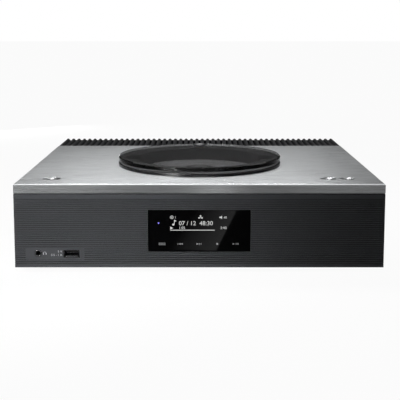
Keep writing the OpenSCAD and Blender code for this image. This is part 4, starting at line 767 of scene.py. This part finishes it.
def ink(name, colour):
    """Screen printed ink, a little uneven."""
    material, tree, into = skin(name)
    grain = effect(tree, "Grain", Size=0.2 * MM)["Mask"]
    feed(tree, into, {
        "Base Color": tint(tree, grain, scaled(colour, 0.82), colour),
        "Roughness": vary(tree, grain, 0.5, 0.65),
        "Specular IOR Level": 0.3,
    })
    return material


def middle_of(node):
    """The middle of a CAD node."""
    low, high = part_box(node)
    return (low + high) / 2


FINISHES = {}


def finish(slot):
    """The finish of a material slot, made when it is first asked for."""
    settings = bpy.context.scene.receiver_finish
    colour = SLOT_COLOUR[slot]
    makers = {
        "chassis_black": (painted, colour, 0.5),
        "front_graphite": (painted, settings.panel, 0.42, 0.15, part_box("front_panel")[0].y),
        "side_graphite": (painted, colour, 0.45, 0.25),
        "rear_black": (painted, colour, 0.55, 0.3),
        "grille_dark": (painted, scaled(colour, 0.35), 0.4, 0.3),
        "ring_dark": (painted, scaled(colour, 0.12), 0.22, 0.3),
        "brushed_plate": (brushed, settings.plate, 0.3),
        "sink_aluminium": (brushed, colour, 0.4),
        "foot_rubber": (rubber, colour),
        "pad_rubber": (rubber, colour),
        "screw_steel": (plated, colour, 0.3),
        "socket_metal": (plated, colour, 0.26),
        "pivot_steel": (plated, colour, 0.22),
        "motor_steel": (plated, colour, 0.34),
        "bush_brass": (plated, colour, 0.28),
        "post_gold": (plated, colour, 0.22),
        "drive_steel": (galvanised, colour),
        "window_black": (black_acrylic, (0.001, 0.001, 0.0011)),
        "display_black": (moulded, colour, 0.4),
        "socket_black": (moulded, colour, 0.42),
        "tongue_plastic": (moulded, colour, 0.45),
        "well_black": (moulded, colour, 0.5),
        "bed_grey": (moulded, scaled(colour, 2), 0.5),
        "turntable_black": (moulded, colour, 0.4),
        "gear_white": (moulded, colour, 0.45),
        "board_green": (circuit_board, colour),
        "board_brown": (circuit_board, colour),
        "component_dark": (components, colour),
        "lid_smoke": (smoked_acrylic, settings.smoke, settings.smoke_density),
        "lens_glass": (coated_lens, colour),
        "knob_red": (gloss_plastic, colour),
        "knob_black": (gloss_plastic, colour),
    }
    if slot not in FINISHES:
        maker, *values = makers[slot]
        FINISHES[slot] = maker(slot, *values)
    return FINISHES[slot]


def finish_of(node):
    """The finish of a node: its own, or else that of its material slot."""
    slot = SLOT_OF_NODE[node]
    colour = SLOT_COLOUR[slot]
    button = (spun, scaled(colour, 0.9), 0.3, middle_of(node))
    own = {
        "power_button": button,
        "volume_down_button": button,
        "volume_up_button": button,
        "lid_pivot_cap": (spun, colour, 0.34, middle_of(node)),
        "turntable": (spun, (0.3, 0.3, 0.305), 0.45, middle_of(node)),
        "usb_shell": (plated, (0.02, 0.02, 0.021), 0.4),
        "usb_tongue": (moulded, scaled(colour, 0.02), 0.45, 0.1),
        "headphone_jack": (moulded, scaled(colour, 0.12), 0.4, 0.05),
    }
    if node not in own:
        return finish(slot)
    maker, *values = own[node]
    return maker(f"{slot}.{node}", *values)


# Pieces

def spot(mount):
    """Where a mount is."""
    return MOUNTS[mount]["pos_m"]


class RECEIVER_OT_cabinet_finishes(bpy.types.Operator):
    """Give every CAD node its own finish or that of its material slot"""

    bl_idname = "receiver.cabinet_finishes"
    bl_label = "Cabinet finishes"

    def execute(self, context):
        for make in (make_grain, make_handling, make_brushing, make_turning, make_edges, make_traces):
            make()
        for node, piece in frame["nodes"].items():
            piece.data.materials.clear()
            piece.data.materials.append(finish_of(node))
        return {"FINISHED"}


class RECEIVER_OT_screw_set(bpy.types.Operator):
    """Stand a set of cross-recess screws in the places of the CAD screws"""

    bl_idname = "receiver.screw_set"
    bl_label = "Screws"

    def execute(self, context):
        copied(frame["nodes"]["screws"])
        edit_all()
        bpy.ops.mesh.remove_doubles(threshold=0.001 * MM)
        bpy.ops.mesh.separate(type="LOOSE")
        leave_edit()
        loose = list(context.selected_objects)
        heads = [self.head_of(screw) for screw in loose]
        pattern = self.recess(context.scene.receiver_fittings)
        cutters = []
        for place, way in heads:
            turn = Vector((0, 0, 1)).rotation_difference(way).to_euler()
            cutters.append(put(copied(pattern), place, turn))
        bpy.data.objects.remove(pattern)
        cutter = joined(cutters)
        screws = joined(loose)
        cut = screws.modifiers.new("Recess", "BOOLEAN")
        cut.operation = "DIFFERENCE"
        cut.object = cutter
        cut.solver = "EXACT"
        select_only(screws)
        bpy.ops.object.modifier_apply(modifier=cut.name)
        bpy.data.objects.remove(cutter)
        fit_out(screws, "screw_set", "cabinet", finish("screw_steel"))
        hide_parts("screws")
        return {"FINISHED"}

    def head_of(self, screw):
        """The middle of a screw's head face, and the way it looks."""
        points = [vertex.co for vertex in screw.data.vertices]
        low = Vector(min(p[i] for p in points) for i in range(3))
        high = Vector(max(p[i] for p in points) for i in range(3))
        size = high - low
        axis = max(range(3), key=lambda i: size[i])
        middle = (low + high) / 2
        across = [i for i in range(3) if i != axis]
        reach = {tuple(p): math.hypot(*(p[i] - middle[i] for i in across)) for p in points}
        rim = [p for p in points if reach[tuple(p)] > 0.95 * max(reach.values())]
        upward = sum(p[axis] for p in rim) / len(rim) > middle[axis]
        way = Vector((0, 0, 0))
        way[axis] = 1 if upward else -1
        middle[axis] = high[axis] if upward else low[axis]
        return middle, way

    def recess(self, sizes):
        """A cross that narrows downwards, with its top just above the head."""
        depth = sizes.recess_depth
        width = sizes.recess_width
        reach = (sizes.recess_span - width) / 2
        taper = 0.55
        deselect()
        bpy.ops.mesh.primitive_cube_add(
            size=1, scale=(width, width, 1.2 * depth), location=(0, 0, -0.4 * depth))
        bpy.ops.object.transform_apply(location=True, rotation=True, scale=True)
        cross = bpy.context.object
        bpy.ops.object.mode_set(mode="EDIT")
        pick_faces(cross, lambda normal: abs(normal.z) < 0.5)
        bpy.ops.mesh.extrude_faces_move(TRANSFORM_OT_shrink_fatten={"value": reach})
        pick_faces(cross, lambda normal: normal.z < -0.5)
        bpy.ops.transform.resize(value=(taper, taper, 1), center_override=(0, 0, -depth))
        leave_edit()
        return cross


class RECEIVER_OT_status_light(bpy.types.Operator):
    """Set the small domed status light into the window"""

    bl_idname = "receiver.status_light"
    bl_label = "Status light"

    def execute(self, context):
        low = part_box("display_window")[0]
        across = -37.4 * MM
        rise = 26.6 * MM
        lens = turned([(0.62, -0.05), (0.62, 0.05), (0.5, 0.16), (0.25, 0.22)], sides=24)
        put(lens, (across, low.y, low.z + rise), FRONT)
        glow = lit_sign("status_glow", context.scene.receiver_display.status, 1.6)
        fit_out(lens, "status_light", "cabinet", glow)
        return {"FINISHED"}


class RECEIVER_OT_screen_marks(bpy.types.Operator):
    """Draw the display: source, network and volume signs, track numbers, times and bar"""

    bl_idname = "receiver.screen_marks"
    bl_label = "Display"

    def execute(self, context):
        shown = context.scene.receiver_display
        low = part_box("display_window")[0]
        top_line = low.z + 30.9 * MM
        title = low.z + 24.6 * MM
        times = low.z + 20.6 * MM
        bar = low.z + 20.3 * MM
        left = -27 * MM
        source = left + 1.7 * MM
        words = -18.9 * MM
        time_size = 3.4 * MM
        signs = [
            hoop(source, top_line + 1.1 * MM, 1.55 * MM, 0.45 * MM),
            dot(source, top_line + 1.1 * MM, 0.5 * MM),
            label("1", left + 4.2 * MM, top_line, 3.1 * MM),
            *self.network_sign(1.1 * MM, top_line + 0.1 * MM),
            *self.speaker_sign(18.4 * MM, top_line + 1.1 * MM),
            label(shown.level, 22.3 * MM, top_line, 3.0 * MM),
            *self.note_sign(-23.9 * MM, title - 0.2 * MM),
            label(shown.track, words, title, 5.6 * MM),
            arrow(left + 0.3 * MM, times + 1.35 * MM, 2.6 * MM, 2.9 * MM),
            label(shown.elapsed, words, times + 0.45 * MM, time_size),
            label(shown.left, 19.2 * MM, times + 0.45 * MM, time_size),
            tile(left + 0.3 * MM, 14.2 * MM, bar - 0.6 * MM, bar),
        ]
        marks = printed(signs, (0, low.y, 0), FRONT)
        fit_out(marks, "screen_marks", "cabinet", lit_sign("display_glow", shown.glow, 1.0))
        return {"FINISHED"}

    def network_sign(self, x, y):
        """Three joined dots."""
        reach = 1.35 * MM
        height = 2.2 * MM
        radius = 0.72 * MM
        line = 0.15 * MM
        low = y + 0.5 * MM
        return [
            dot(x, y + height, radius), dot(x - reach, low, radius), dot(x + reach, low, radius),
            tile(x - reach, x + reach, low - line, low + line),
            tile(x - line, x + line, low, y + height),
        ]

    def speaker_sign(self, x, y):
        """A small loudspeaker."""
        half = 0.6 * MM
        return [
            tile(x, x + 0.9 * MM, y - half, y + half),
            arrow(x + 2.4 * MM, y, 2.2 * MM, 2.9 * MM, way=-1),
        ]

    def note_sign(self, x, y):
        """A music note."""
        stem = x + 0.75 * MM
        head = y + 0.85 * MM
        return [
            dot(x, head, 0.95 * MM), tile(stem, stem + 0.45 * MM, head, y + 5.3 * MM),
            arrow(stem + 0.4 * MM, y + 4.3 * MM, 1.9 * MM, 1.9 * MM),
        ]


class RECEIVER_OT_touch_key_marks(bpy.types.Operator):
    """Print the signs of the touch keys on the window"""

    bl_idname = "receiver.touch_key_marks"
    bl_label = "Touch keys"

    def execute(self, context):
        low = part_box("display_window")[0]
        y = low.z + 7.05 * MM
        half = 0.85 * MM
        line = 0.2 * MM
        signs = []
        for bar in (y - half, y, y + half):
            signs.append(tile(-37.4 * MM, -31.2 * MM, bar - line, bar + line))
        signs += self.skip(-17.3 * MM, y, half, -1)
        signs += self.skip(-0.5 * MM, y, half, 1)
        signs.append(tile(15.5 * MM, 17.3 * MM, y - half, y + half))
        signs.append(arrow(30.7 * MM, y, 1.9 * MM, 2 * half))
        for left, width in ((33.3 * MM, 0.3 * MM), (34.3 * MM, 0.6 * MM), (35.4 * MM, 0.6 * MM)):
            signs.append(tile(left, left + width, y - half, y + half))
        marks = printed(signs, (0, low.y, 0), FRONT)
        glow = lit_sign("key_glow", context.scene.receiver_display.key_ink, 0.9)
        fit_out(marks, "touch_key_marks", "cabinet", glow)
        return {"FINISHED"}

    def skip(self, x, y, half, way):
        """Two arrows and an end bar."""
        step = way * 2.2 * MM
        length = 2.1 * MM
        left, right = sorted((x + step, x + step + way * 0.35 * MM))
        return [
            arrow(x - step, y, length, 2 * half, way), arrow(x, y, length, 2 * half, way),
            tile(left, right, y - half, y + half),
        ]


class RECEIVER_OT_front_sockets(bpy.types.Operator):
    """Fit the headphone socket's ring, the USB contacts and the signs beside both"""

    bl_idname = "receiver.front_sockets"
    bl_label = "Front sockets"

    def execute(self, context):
        self.jack_ring()
        self.usb_contacts(context.scene.receiver_fittings.contact_width)
        self.usb_spring_tabs()
        self.signs()
        return {"FINISHED"}

    def jack_ring(self):
        """The plated ring round the headphone socket's bore."""
        bore = MOUNTS["headphone_plug"]["dims"]["r_mm"]
        x, _, z = spot("headphone_plug")
        ring = bevelled_ring(bore + 1.05, bore + 0.7, -0.1, 0.3, (0.08, 0.12), (0.15, 0.18))
        put(ring, (x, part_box("headphone_jack")[0].y, z), FRONT)
        fit_out(ring, "jack_ring", "cabinet", finish("socket_metal"))

    def usb_contacts(self, width):
        """Four contacts that wrap the front edge of the USB tongue."""
        low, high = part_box("usb_tongue")
        count = 4
        strips = []
        for i in range(count):
            x = low.x + (high.x - low.x) * (i + 0.5) / count
            strips.append(block((x - width / 2, low.y - 0.06 * MM, low.z - 0.12 * MM),
                                (x + width / 2, high.y - 1.5 * MM, low.z + 0.35 * MM), 0.05 * MM))
        fit_out(joined(strips), "usb_contacts", "cabinet", finish("socket_metal"))

    def usb_spring_tabs(self):
        """Two sprung tabs on the floor of the USB shell."""
        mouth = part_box("usb_shell")[0]
        floor = mouth.z + 0.9 * MM
        half = 2.6 * MM
        tabs = []
        for side in (-1, 1):
            x = middle_of("usb_tongue").x + side * 2.9 * MM
            tabs.append(block((x - half, mouth.y - 0.1 * MM, floor - 0.05 * MM),
                              (x + half, mouth.y + 6 * MM, floor + 0.45 * MM), 0.12 * MM))
        fit_out(joined(tabs), "usb_spring_tabs", "cabinet", finish("socket_metal"))

    def signs(self):
        """A pair of headphones beside the jack, and the USB socket's plain ratings."""
        x = -142.4 * MM
        z = spot("headphone_plug")[2]
        rating_end = -126.4 * MM
        rating_size = 2.9 * MM
        cup_foot = z - 1.2 * MM
        cup_top = z + 0.1 * MM
        marks = [
            hoop(x, z, 1.45 * MM, 0.32 * MM, half=True),
            tile(x - 1.6 * MM, x - 0.85 * MM, cup_foot, cup_top),
            tile(x + 0.85 * MM, x + 1.6 * MM, cup_foot, cup_top),
            label("5 V", rating_end, z + 0.7 * MM, rating_size, align="RIGHT"),
            label("0.5 - 1 A", rating_end, z - 2.5 * MM, rating_size, align="RIGHT"),
        ]
        sheet = printed(marks, (0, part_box("front_panel")[0].y, 0), FRONT)
        fit_out(sheet, "front_socket_marks", "cabinet", ink("front_print", (0.5, 0.5, 0.51)))


class RECEIVER_OT_rear_sockets(bpy.types.Operator):
    """Fit the insulators, contacts, lamps and pins of the rear sockets"""

    bl_idname = "receiver.rear_sockets"
    bl_label = "Rear sockets"

    def execute(self, context):
        self.phono_faces()
        self.aerial_face()
        self.network_contacts(context.scene.receiver_fittings.wire_width)
        self.network_lamps()
        self.inlet_pins()
        return {"FINISHED"}

    def phono_faces(self):
        """Coloured insulators in the phono barrels and collars round them: red below, white above."""
        tones = {"red": (0.42, 0.02, 0.015), "white": (0.72, 0.72, 0.69)}
        rows = {"red": [], "white": []}
        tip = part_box("phono_sockets")[1].y
        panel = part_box("rear_panel")[1].y
        low_row = spot("phono_1")[2]
        for i in range(1, 7):
            x, _, z = spot(f"phono_{i}")
            face = bevelled_ring(3.35, 1.68, -0.3, 0.22, (0.15, 0.1), (0.27, 0.2))
            collar = bevelled_ring(6.1, 4.2, -0.05, 0.65, (0.2, 0.2), (0.1, 0.1))
            put(face, (x, tip, z), REAR)
            put(collar, (x, panel, z), REAR)
            rows["red" if z < low_row + 1 * MM else "white"] += [face, collar]
        for row, faces in rows.items():
            plastic = gloss_plastic(f"insulator_{row}", tones[row])
            fit_out(joined(faces), f"phono_insulators_{row}", "cabinet", plastic)

    def aerial_face(self):
        """The pale insulator in the aerial socket."""
        x, _, z = spot("aerial")
        face = bevelled_ring(3.4, 0.95, -0.3, 0.2, (0.2, 0.1), (0.35, 0.15))
        put(face, (x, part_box("aerial_socket")[1].y, z), REAR)
        fit_out(face, "aerial_insulator", "cabinet", moulded("insulator_pale", (0.62, 0.6, 0.54), 0.4))

    def network_contacts(self, width):
        """Eight sprung wires inside the network socket."""
        x, y, z = spot("network_plug")
        count = 8
        pitch = 1.02 * MM
        bend = y - 2.5 * MM
        wires = []
        for i in range(count):
            middle = x + (i - (count - 1) / 2) * pitch
            wire = block((middle - width / 2, y - 10.5 * MM, z - 4.2 * MM),
                         (middle + width / 2, bend, z - 3.8 * MM), 0.08 * MM)
            edit_all()
            bpy.ops.transform.rotate(
                value=math.radians(16), orient_axis="X", center_override=(middle, bend, z - 4.1 * MM))
            leave_edit()
            wires.append(wire)
        fit_out(joined(wires), "network_contacts", "cabinet", finish("post_gold"))

    def network_lamps(self):
        """The two lamps over the network socket."""
        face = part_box("lan_socket")[1]
        z = face.z - 1.5 * MM
        half_width = 1.4 * MM
        half_height = 0.75 * MM
        for name, side, colour in (("left", 1, (0.75, 0.45, 0.05)), ("right", -1, (0.1, 0.55, 0.12))):
            x = spot("network_plug")[0] + side * 5 * MM
            lamp = block((x - half_width, face.y - 0.3 * MM, z - half_height),
                         (x + half_width, face.y + 0.15 * MM, z + half_height), 0.12 * MM)
            fit_out(lamp, f"network_lamp_{name}", "cabinet", gloss_plastic(f"lamp_{name}", colour))

    def inlet_pins(self):
        """Plated sleeves with rounded ends over the inlet's two pins."""
        x, y, z = spot("mains_plug")
        profile = [(1.22, -13.9), (1.22, -5.6), (1.05, -5.15), (0.6, -4.85)]
        sleeves = []
        for side in (-1, 1):
            sleeves.append(put(turned(profile, sides=24), (x + side * 4.3 * MM, y, z), REAR))
        fit_out(joined(sleeves), "inlet_pin_sleeves", "cabinet", finish("socket_metal"))


class RECEIVER_OT_rear_marks(bpy.types.Operator):
    """Print plain signs and group lines on the rear panel"""

    bl_idname = "receiver.rear_marks"
    bl_label = "Rear signs"

    def execute(self, context):
        line = 0.35 * MM
        signs = self.speaker_signs(line) + self.phono_signs(line)
        signs += self.network_sign(-spot("network_plug")[0], 33 * MM, line)
        signs += self.aerial_sign(-spot("aerial")[0], 36 * MM, line)
        signs += self.mains_sign(-spot("mains_plug")[0], 48 * MM, line * 1.2)
        sheet = printed(signs, (0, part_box("rear_panel")[1].y, 0), REAR)
        fit_out(sheet, "rear_marks", "cabinet", ink("rear_print", (0.5, 0.5, 0.5)))
        return {"FINISHED"}

    def speaker_signs(self, line):
        """Plus and minus over the posts, a side over each pair, and a line round them all."""
        posts = [spot(f"speaker_plug_{i}") for i in (1, 2, 3, 4)]
        level = posts[0][2]
        arm = 1.3 * MM
        signs = []
        for i, (x, _, z) in enumerate(posts):
            above = z + 12.5 * MM
            signs.append(tile(-x - arm, -x + arm, above - line / 2, above + line / 2))
            if i % 2 == 0:
                signs.append(tile(-x - line / 2, -x + line / 2, above - arm, above + arm))
        for first, second, side in ((posts[0], posts[1], "R"), (posts[2], posts[3], "L")):
            middle = -(first[0] + second[0]) / 2
            signs.append(label(side, middle, level + 17.5 * MM, 4.2 * MM, align="CENTER"))
        signs.append(outline(-posts[3][0] - 10 * MM, -posts[0][0] + 10 * MM,
                             level - 11 * MM, level + 23 * MM, line))
        return signs

    def phono_signs(self, line):
        """A number over each pair, a side beside each row, and a line round them all."""
        size = 3.6 * MM
        signs = []
        for pair in (1, 2, 3):
            x, _, z = spot(f"phono_{2 * pair}")
            signs.append(label(str(pair), -x, z + 10 * MM, size, align="CENTER"))
        for row, side in ((1, "R"), (2, "L")):
            x, _, z = spot(f"phono_{row}")
            signs.append(label(side, -x + 9.4 * MM, z - 1.2 * MM, size))
        low = spot("phono_1")
        high = spot("phono_6")
        signs.append(outline(-high[0] - 9 * MM, -low[0] + 14 * MM,
                             low[2] - 8.5 * MM, high[2] + 15.5 * MM, line))
        return signs

    def network_sign(self, x, y, line):
        """Three boxes on a line."""
        size = 1.7 * MM
        rail = y + 2.5 * MM
        signs = [tile(x - 4 * MM, x + 4 * MM, rail, rail + line)]
        for i in (-1, 0, 1):
            middle = x + i * 3.4 * MM
            signs.append(outline(middle - size / 2, middle + size / 2, y, y + size, line))
            signs.append(tile(middle - line / 2, middle + line / 2, y + size, rail))
        return signs

    def aerial_sign(self, x, y, line):
        """A mast under two waves."""
        tip = y + 2.4 * MM
        return [
            tile(x - line / 2, x + line / 2, y - 2 * MM, tip), dot(x, tip, 0.6 * MM),
            hoop(x, tip, 1.9 * MM, line, half=True), hoop(x, tip, 3.1 * MM, line, half=True),
        ]

    def mains_sign(self, x, y, line):
        """The sign for alternating current, as two half rings."""
        step = 1.4 * MM
        radius = 1.5 * MM
        left = hoop(x - step, y, radius, line, half=True)
        right = hoop(x + step, y, radius, line, half=True)
        select_only(right)
        edit_all()
        bpy.ops.transform.rotate(value=math.pi, orient_axis="Z", center_override=(x + 1.2 * MM, y, 0))
        leave_edit()
        return [left, right]


class RECEIVER_OT_hub_claws(bpy.types.Operator):
    """Set three sprung claws round the disc hub, which hold a disc down"""

    bl_idname = "receiver.hub_claws"
    bl_label = "Hub claws"

    def execute(self, context):
        count = 3
        half = 1.3 * MM
        radius = MOUNTS["disc_hub"]["dims"]["r_mm"] * MM
        claw = block((radius - 1.2 * MM, -half, -0.35 * MM), (radius + 0.16 * MM, half, 0.75 * MM), 0.14 * MM)
        claws = [claw]
        for i in range(1, count):
            claws.append(put(copied(claw), turn=(0, 0, 2 * math.pi * i / count)))
        ring = put(joined(claws), spot("disc_hub"))
        fit_out(ring, "hub_claws", "spindle", moulded("claw_plastic", (0.08, 0.08, 0.082), 0.35))
        return {"FINISHED"}


class RECEIVER_OT_stage(bpy.types.Operator):
    """Set up the floor, the light and the camera"""

    bl_idname = "receiver.stage"
    bl_label = "Stage"

    def execute(self, context):
        settings = context.scene.receiver_stage
        self.world(context, settings.ambient)
        self.floor()
        for card in CARDS:
            self.flag(*card)
        self.light("key_light", settings.key_power, size=(0.25, 0.25),
                   place=(-0.4, -0.5, 0.33), aim=(-0.115, -0.17, 0.045), spread=26)
        self.light("top_light", settings.top_power, size=(0.4, 0.1),
                   place=(-0.02, 0.05, 0.45), aim=(-0.02, -0.15, 0.084))
        self.light("rear_light", settings.rear_power, size=(0.5, 0.06),
                   place=(-0.5, 0.9, 0.045), aim=(0, 0.15, 0.045))
        self.camera(context)
        context.scene.view_settings.view_transform = "Standard"
        return {"FINISHED"}

    def seen(self, tree):
        """1 for rays from the camera, from gloss and through glass."""
        path = add(tree, "LightPath").outputs
        both = calc(tree, "ADD", path["Is Camera Ray"], path["Is Glossy Ray"], clamp=True)
        return calc(tree, "ADD", both, path["Is Transmission Ray"], clamp=True)

    def world(self, context, ambient):
        """Soft light from all round, which is white where it is seen."""
        world = bpy.data.worlds.new("studio")
        world.use_nodes = True
        tree = world.node_tree
        tree.nodes.clear()
        soft = add(tree, "Background", {"Color": WHITE, "Strength": ambient}).outputs[0]
        white = add(tree, "Background", {"Color": WHITE, "Strength": 1.0}).outputs[0]
        mixed = add(tree, "MixShader", {0: self.seen(tree), 1: soft, 2: white}).outputs[0]
        add(tree, "OutputWorld", {"Surface": mixed})
        context.scene.world = world

    def plain_material(self, name):
        """A material with no nodes yet, and its tree."""
        material = bpy.data.materials.new(name)
        material.use_nodes = True
        material.node_tree.nodes.clear()
        return material, material.node_tree

    def floor(self):
        """A pale floor that keeps a part of the object's shadow."""
        deselect()
        bpy.ops.mesh.primitive_plane_add(size=FLOOR_SIZE)
        floor = bpy.context.object
        floor.name = "floor"
        material, tree = self.plain_material("floor")
        matt = add(tree, "BsdfDiffuse", {"Color": (0.86, 0.86, 0.86, 1)}).outputs[0]
        white = add(tree, "Emission", {"Color": WHITE, "Strength": 1.0}).outputs[0]
        share = calc(tree, "MULTIPLY", self.seen(tree), 0.95)
        mixed = add(tree, "MixShader", {0: share, 1: matt, 2: white}).outputs[0]
        add(tree, "OutputMaterial", {"Surface": mixed})
        floor.data.materials.append(material)

    def flag(self, name, size, place, turn, tones, solid=False):
        """A card that shows in reflections, toned from left to right; a solid one also takes light."""
        deselect()
        bpy.ops.mesh.primitive_plane_add(size=1, location=place, rotation=turn)
        flag = bpy.context.object
        flag.scale = (*size, 1)
        flag.name = name
        material, tree = self.plain_material(name)
        across = add(tree, "SeparateXYZ", {0: own_place(tree)}).outputs["X"]
        tone = vary(tree, spread(tree, across, -0.5, 0.5), *tones)
        glow = add(tree, "Emission", {"Color": WHITE, "Strength": tone}).outputs[0]
        add(tree, "OutputMaterial", {"Surface": glow})
        flag.data.materials.append(material)
        flag.visible_camera = False
        flag.visible_diffuse = solid
        flag.visible_shadow = solid

    def light(self, name, power, size, place, aim, spread=180):
        """A soft rectangular light with a grid that narrows its spread to so many degrees."""
        bpy.ops.object.light_add(type="AREA", location=place)
        lamp = bpy.context.object
        lamp.name = name
        lamp.data.energy = power
        lamp.data.shape = "RECTANGLE"
        lamp.data.size, lamp.data.size_y = size
        lamp.data.spread = math.radians(spread)
        lamp.rotation_euler = (Vector(aim) - Vector(place)).to_track_quat("-Z", "Y").to_euler()
        lamp.visible_camera = False

    def camera(self, context):
        """The camera, at the photograph's place and angle."""
        settings = context.scene.receiver_camera
        bpy.ops.object.camera_add(location=settings.place, rotation=(math.pi / 2 - settings.tilt, 0, 0))
        camera = bpy.context.object
        camera.data.sensor_width = SENSOR_WIDTH
        camera.data.lens = settings.lens
        camera.data.shift_y = settings.shift
        camera.data.clip_start = 10 * MM
        context.scene.camera = camera


PIECES = (
    RECEIVER_OT_cabinet_finishes, RECEIVER_OT_screw_set, RECEIVER_OT_status_light, RECEIVER_OT_screen_marks,
    RECEIVER_OT_touch_key_marks, RECEIVER_OT_front_sockets, RECEIVER_OT_rear_sockets, RECEIVER_OT_rear_marks,
    RECEIVER_OT_hub_claws, RECEIVER_OT_stage,
)
SETTINGS = {
    "receiver_camera": CameraSettings, "receiver_finish": FinishSettings, "receiver_display": DisplaySettings,
    "receiver_fittings": FittingSettings, "receiver_stage": StageSettings,
}


class RECEIVER_PT_pieces(bpy.types.Panel):
    """The receiver's pieces and settings"""

    bl_label = "CD Receiver"
    bl_idname = "RECEIVER_PT_pieces"
    bl_space_type = "VIEW_3D"
    bl_region_type = "UI"
    bl_category = "CD Receiver"

    def draw(self, context):
        for piece in PIECES:
            self.layout.operator(piece.bl_idname)
        for name, group in SETTINGS.items():
            box = self.layout.box()
            for key in group.__annotations__:
                box.prop(getattr(context.scene, name), key)


def register():
    """Register the settings, the pieces and the panel."""
    for group in SETTINGS.values():
        bpy.utils.register_class(group)
    for name, group in SETTINGS.items():
        setattr(bpy.types.Scene, name, PointerProperty(type=group))
    for piece in PIECES:
        bpy.utils.register_class(piece)
    bpy.utils.register_class(RECEIVER_PT_pieces)


def unregister():
    """Take away what register() added."""
    bpy.utils.unregister_class(RECEIVER_PT_pieces)
    for piece in reversed(PIECES):
        bpy.utils.unregister_class(piece)
    for name in SETTINGS:
        delattr(bpy.types.Scene, name)
    for group in reversed(SETTINGS.values()):
        bpy.utils.unregister_class(group)


def main():
    """Make every piece in order."""
    register()
    bpy.ops.receiver.cabinet_finishes()
    bpy.ops.receiver.screw_set()
    bpy.ops.receiver.status_light()
    bpy.ops.receiver.screen_marks()
    bpy.ops.receiver.touch_key_marks()
    bpy.ops.receiver.front_sockets()
    bpy.ops.receiver.rear_sockets()
    bpy.ops.receiver.rear_marks()
    bpy.ops.receiver.hub_claws()
    bpy.ops.receiver.stage()


if __name__ == "__main__":
    main()
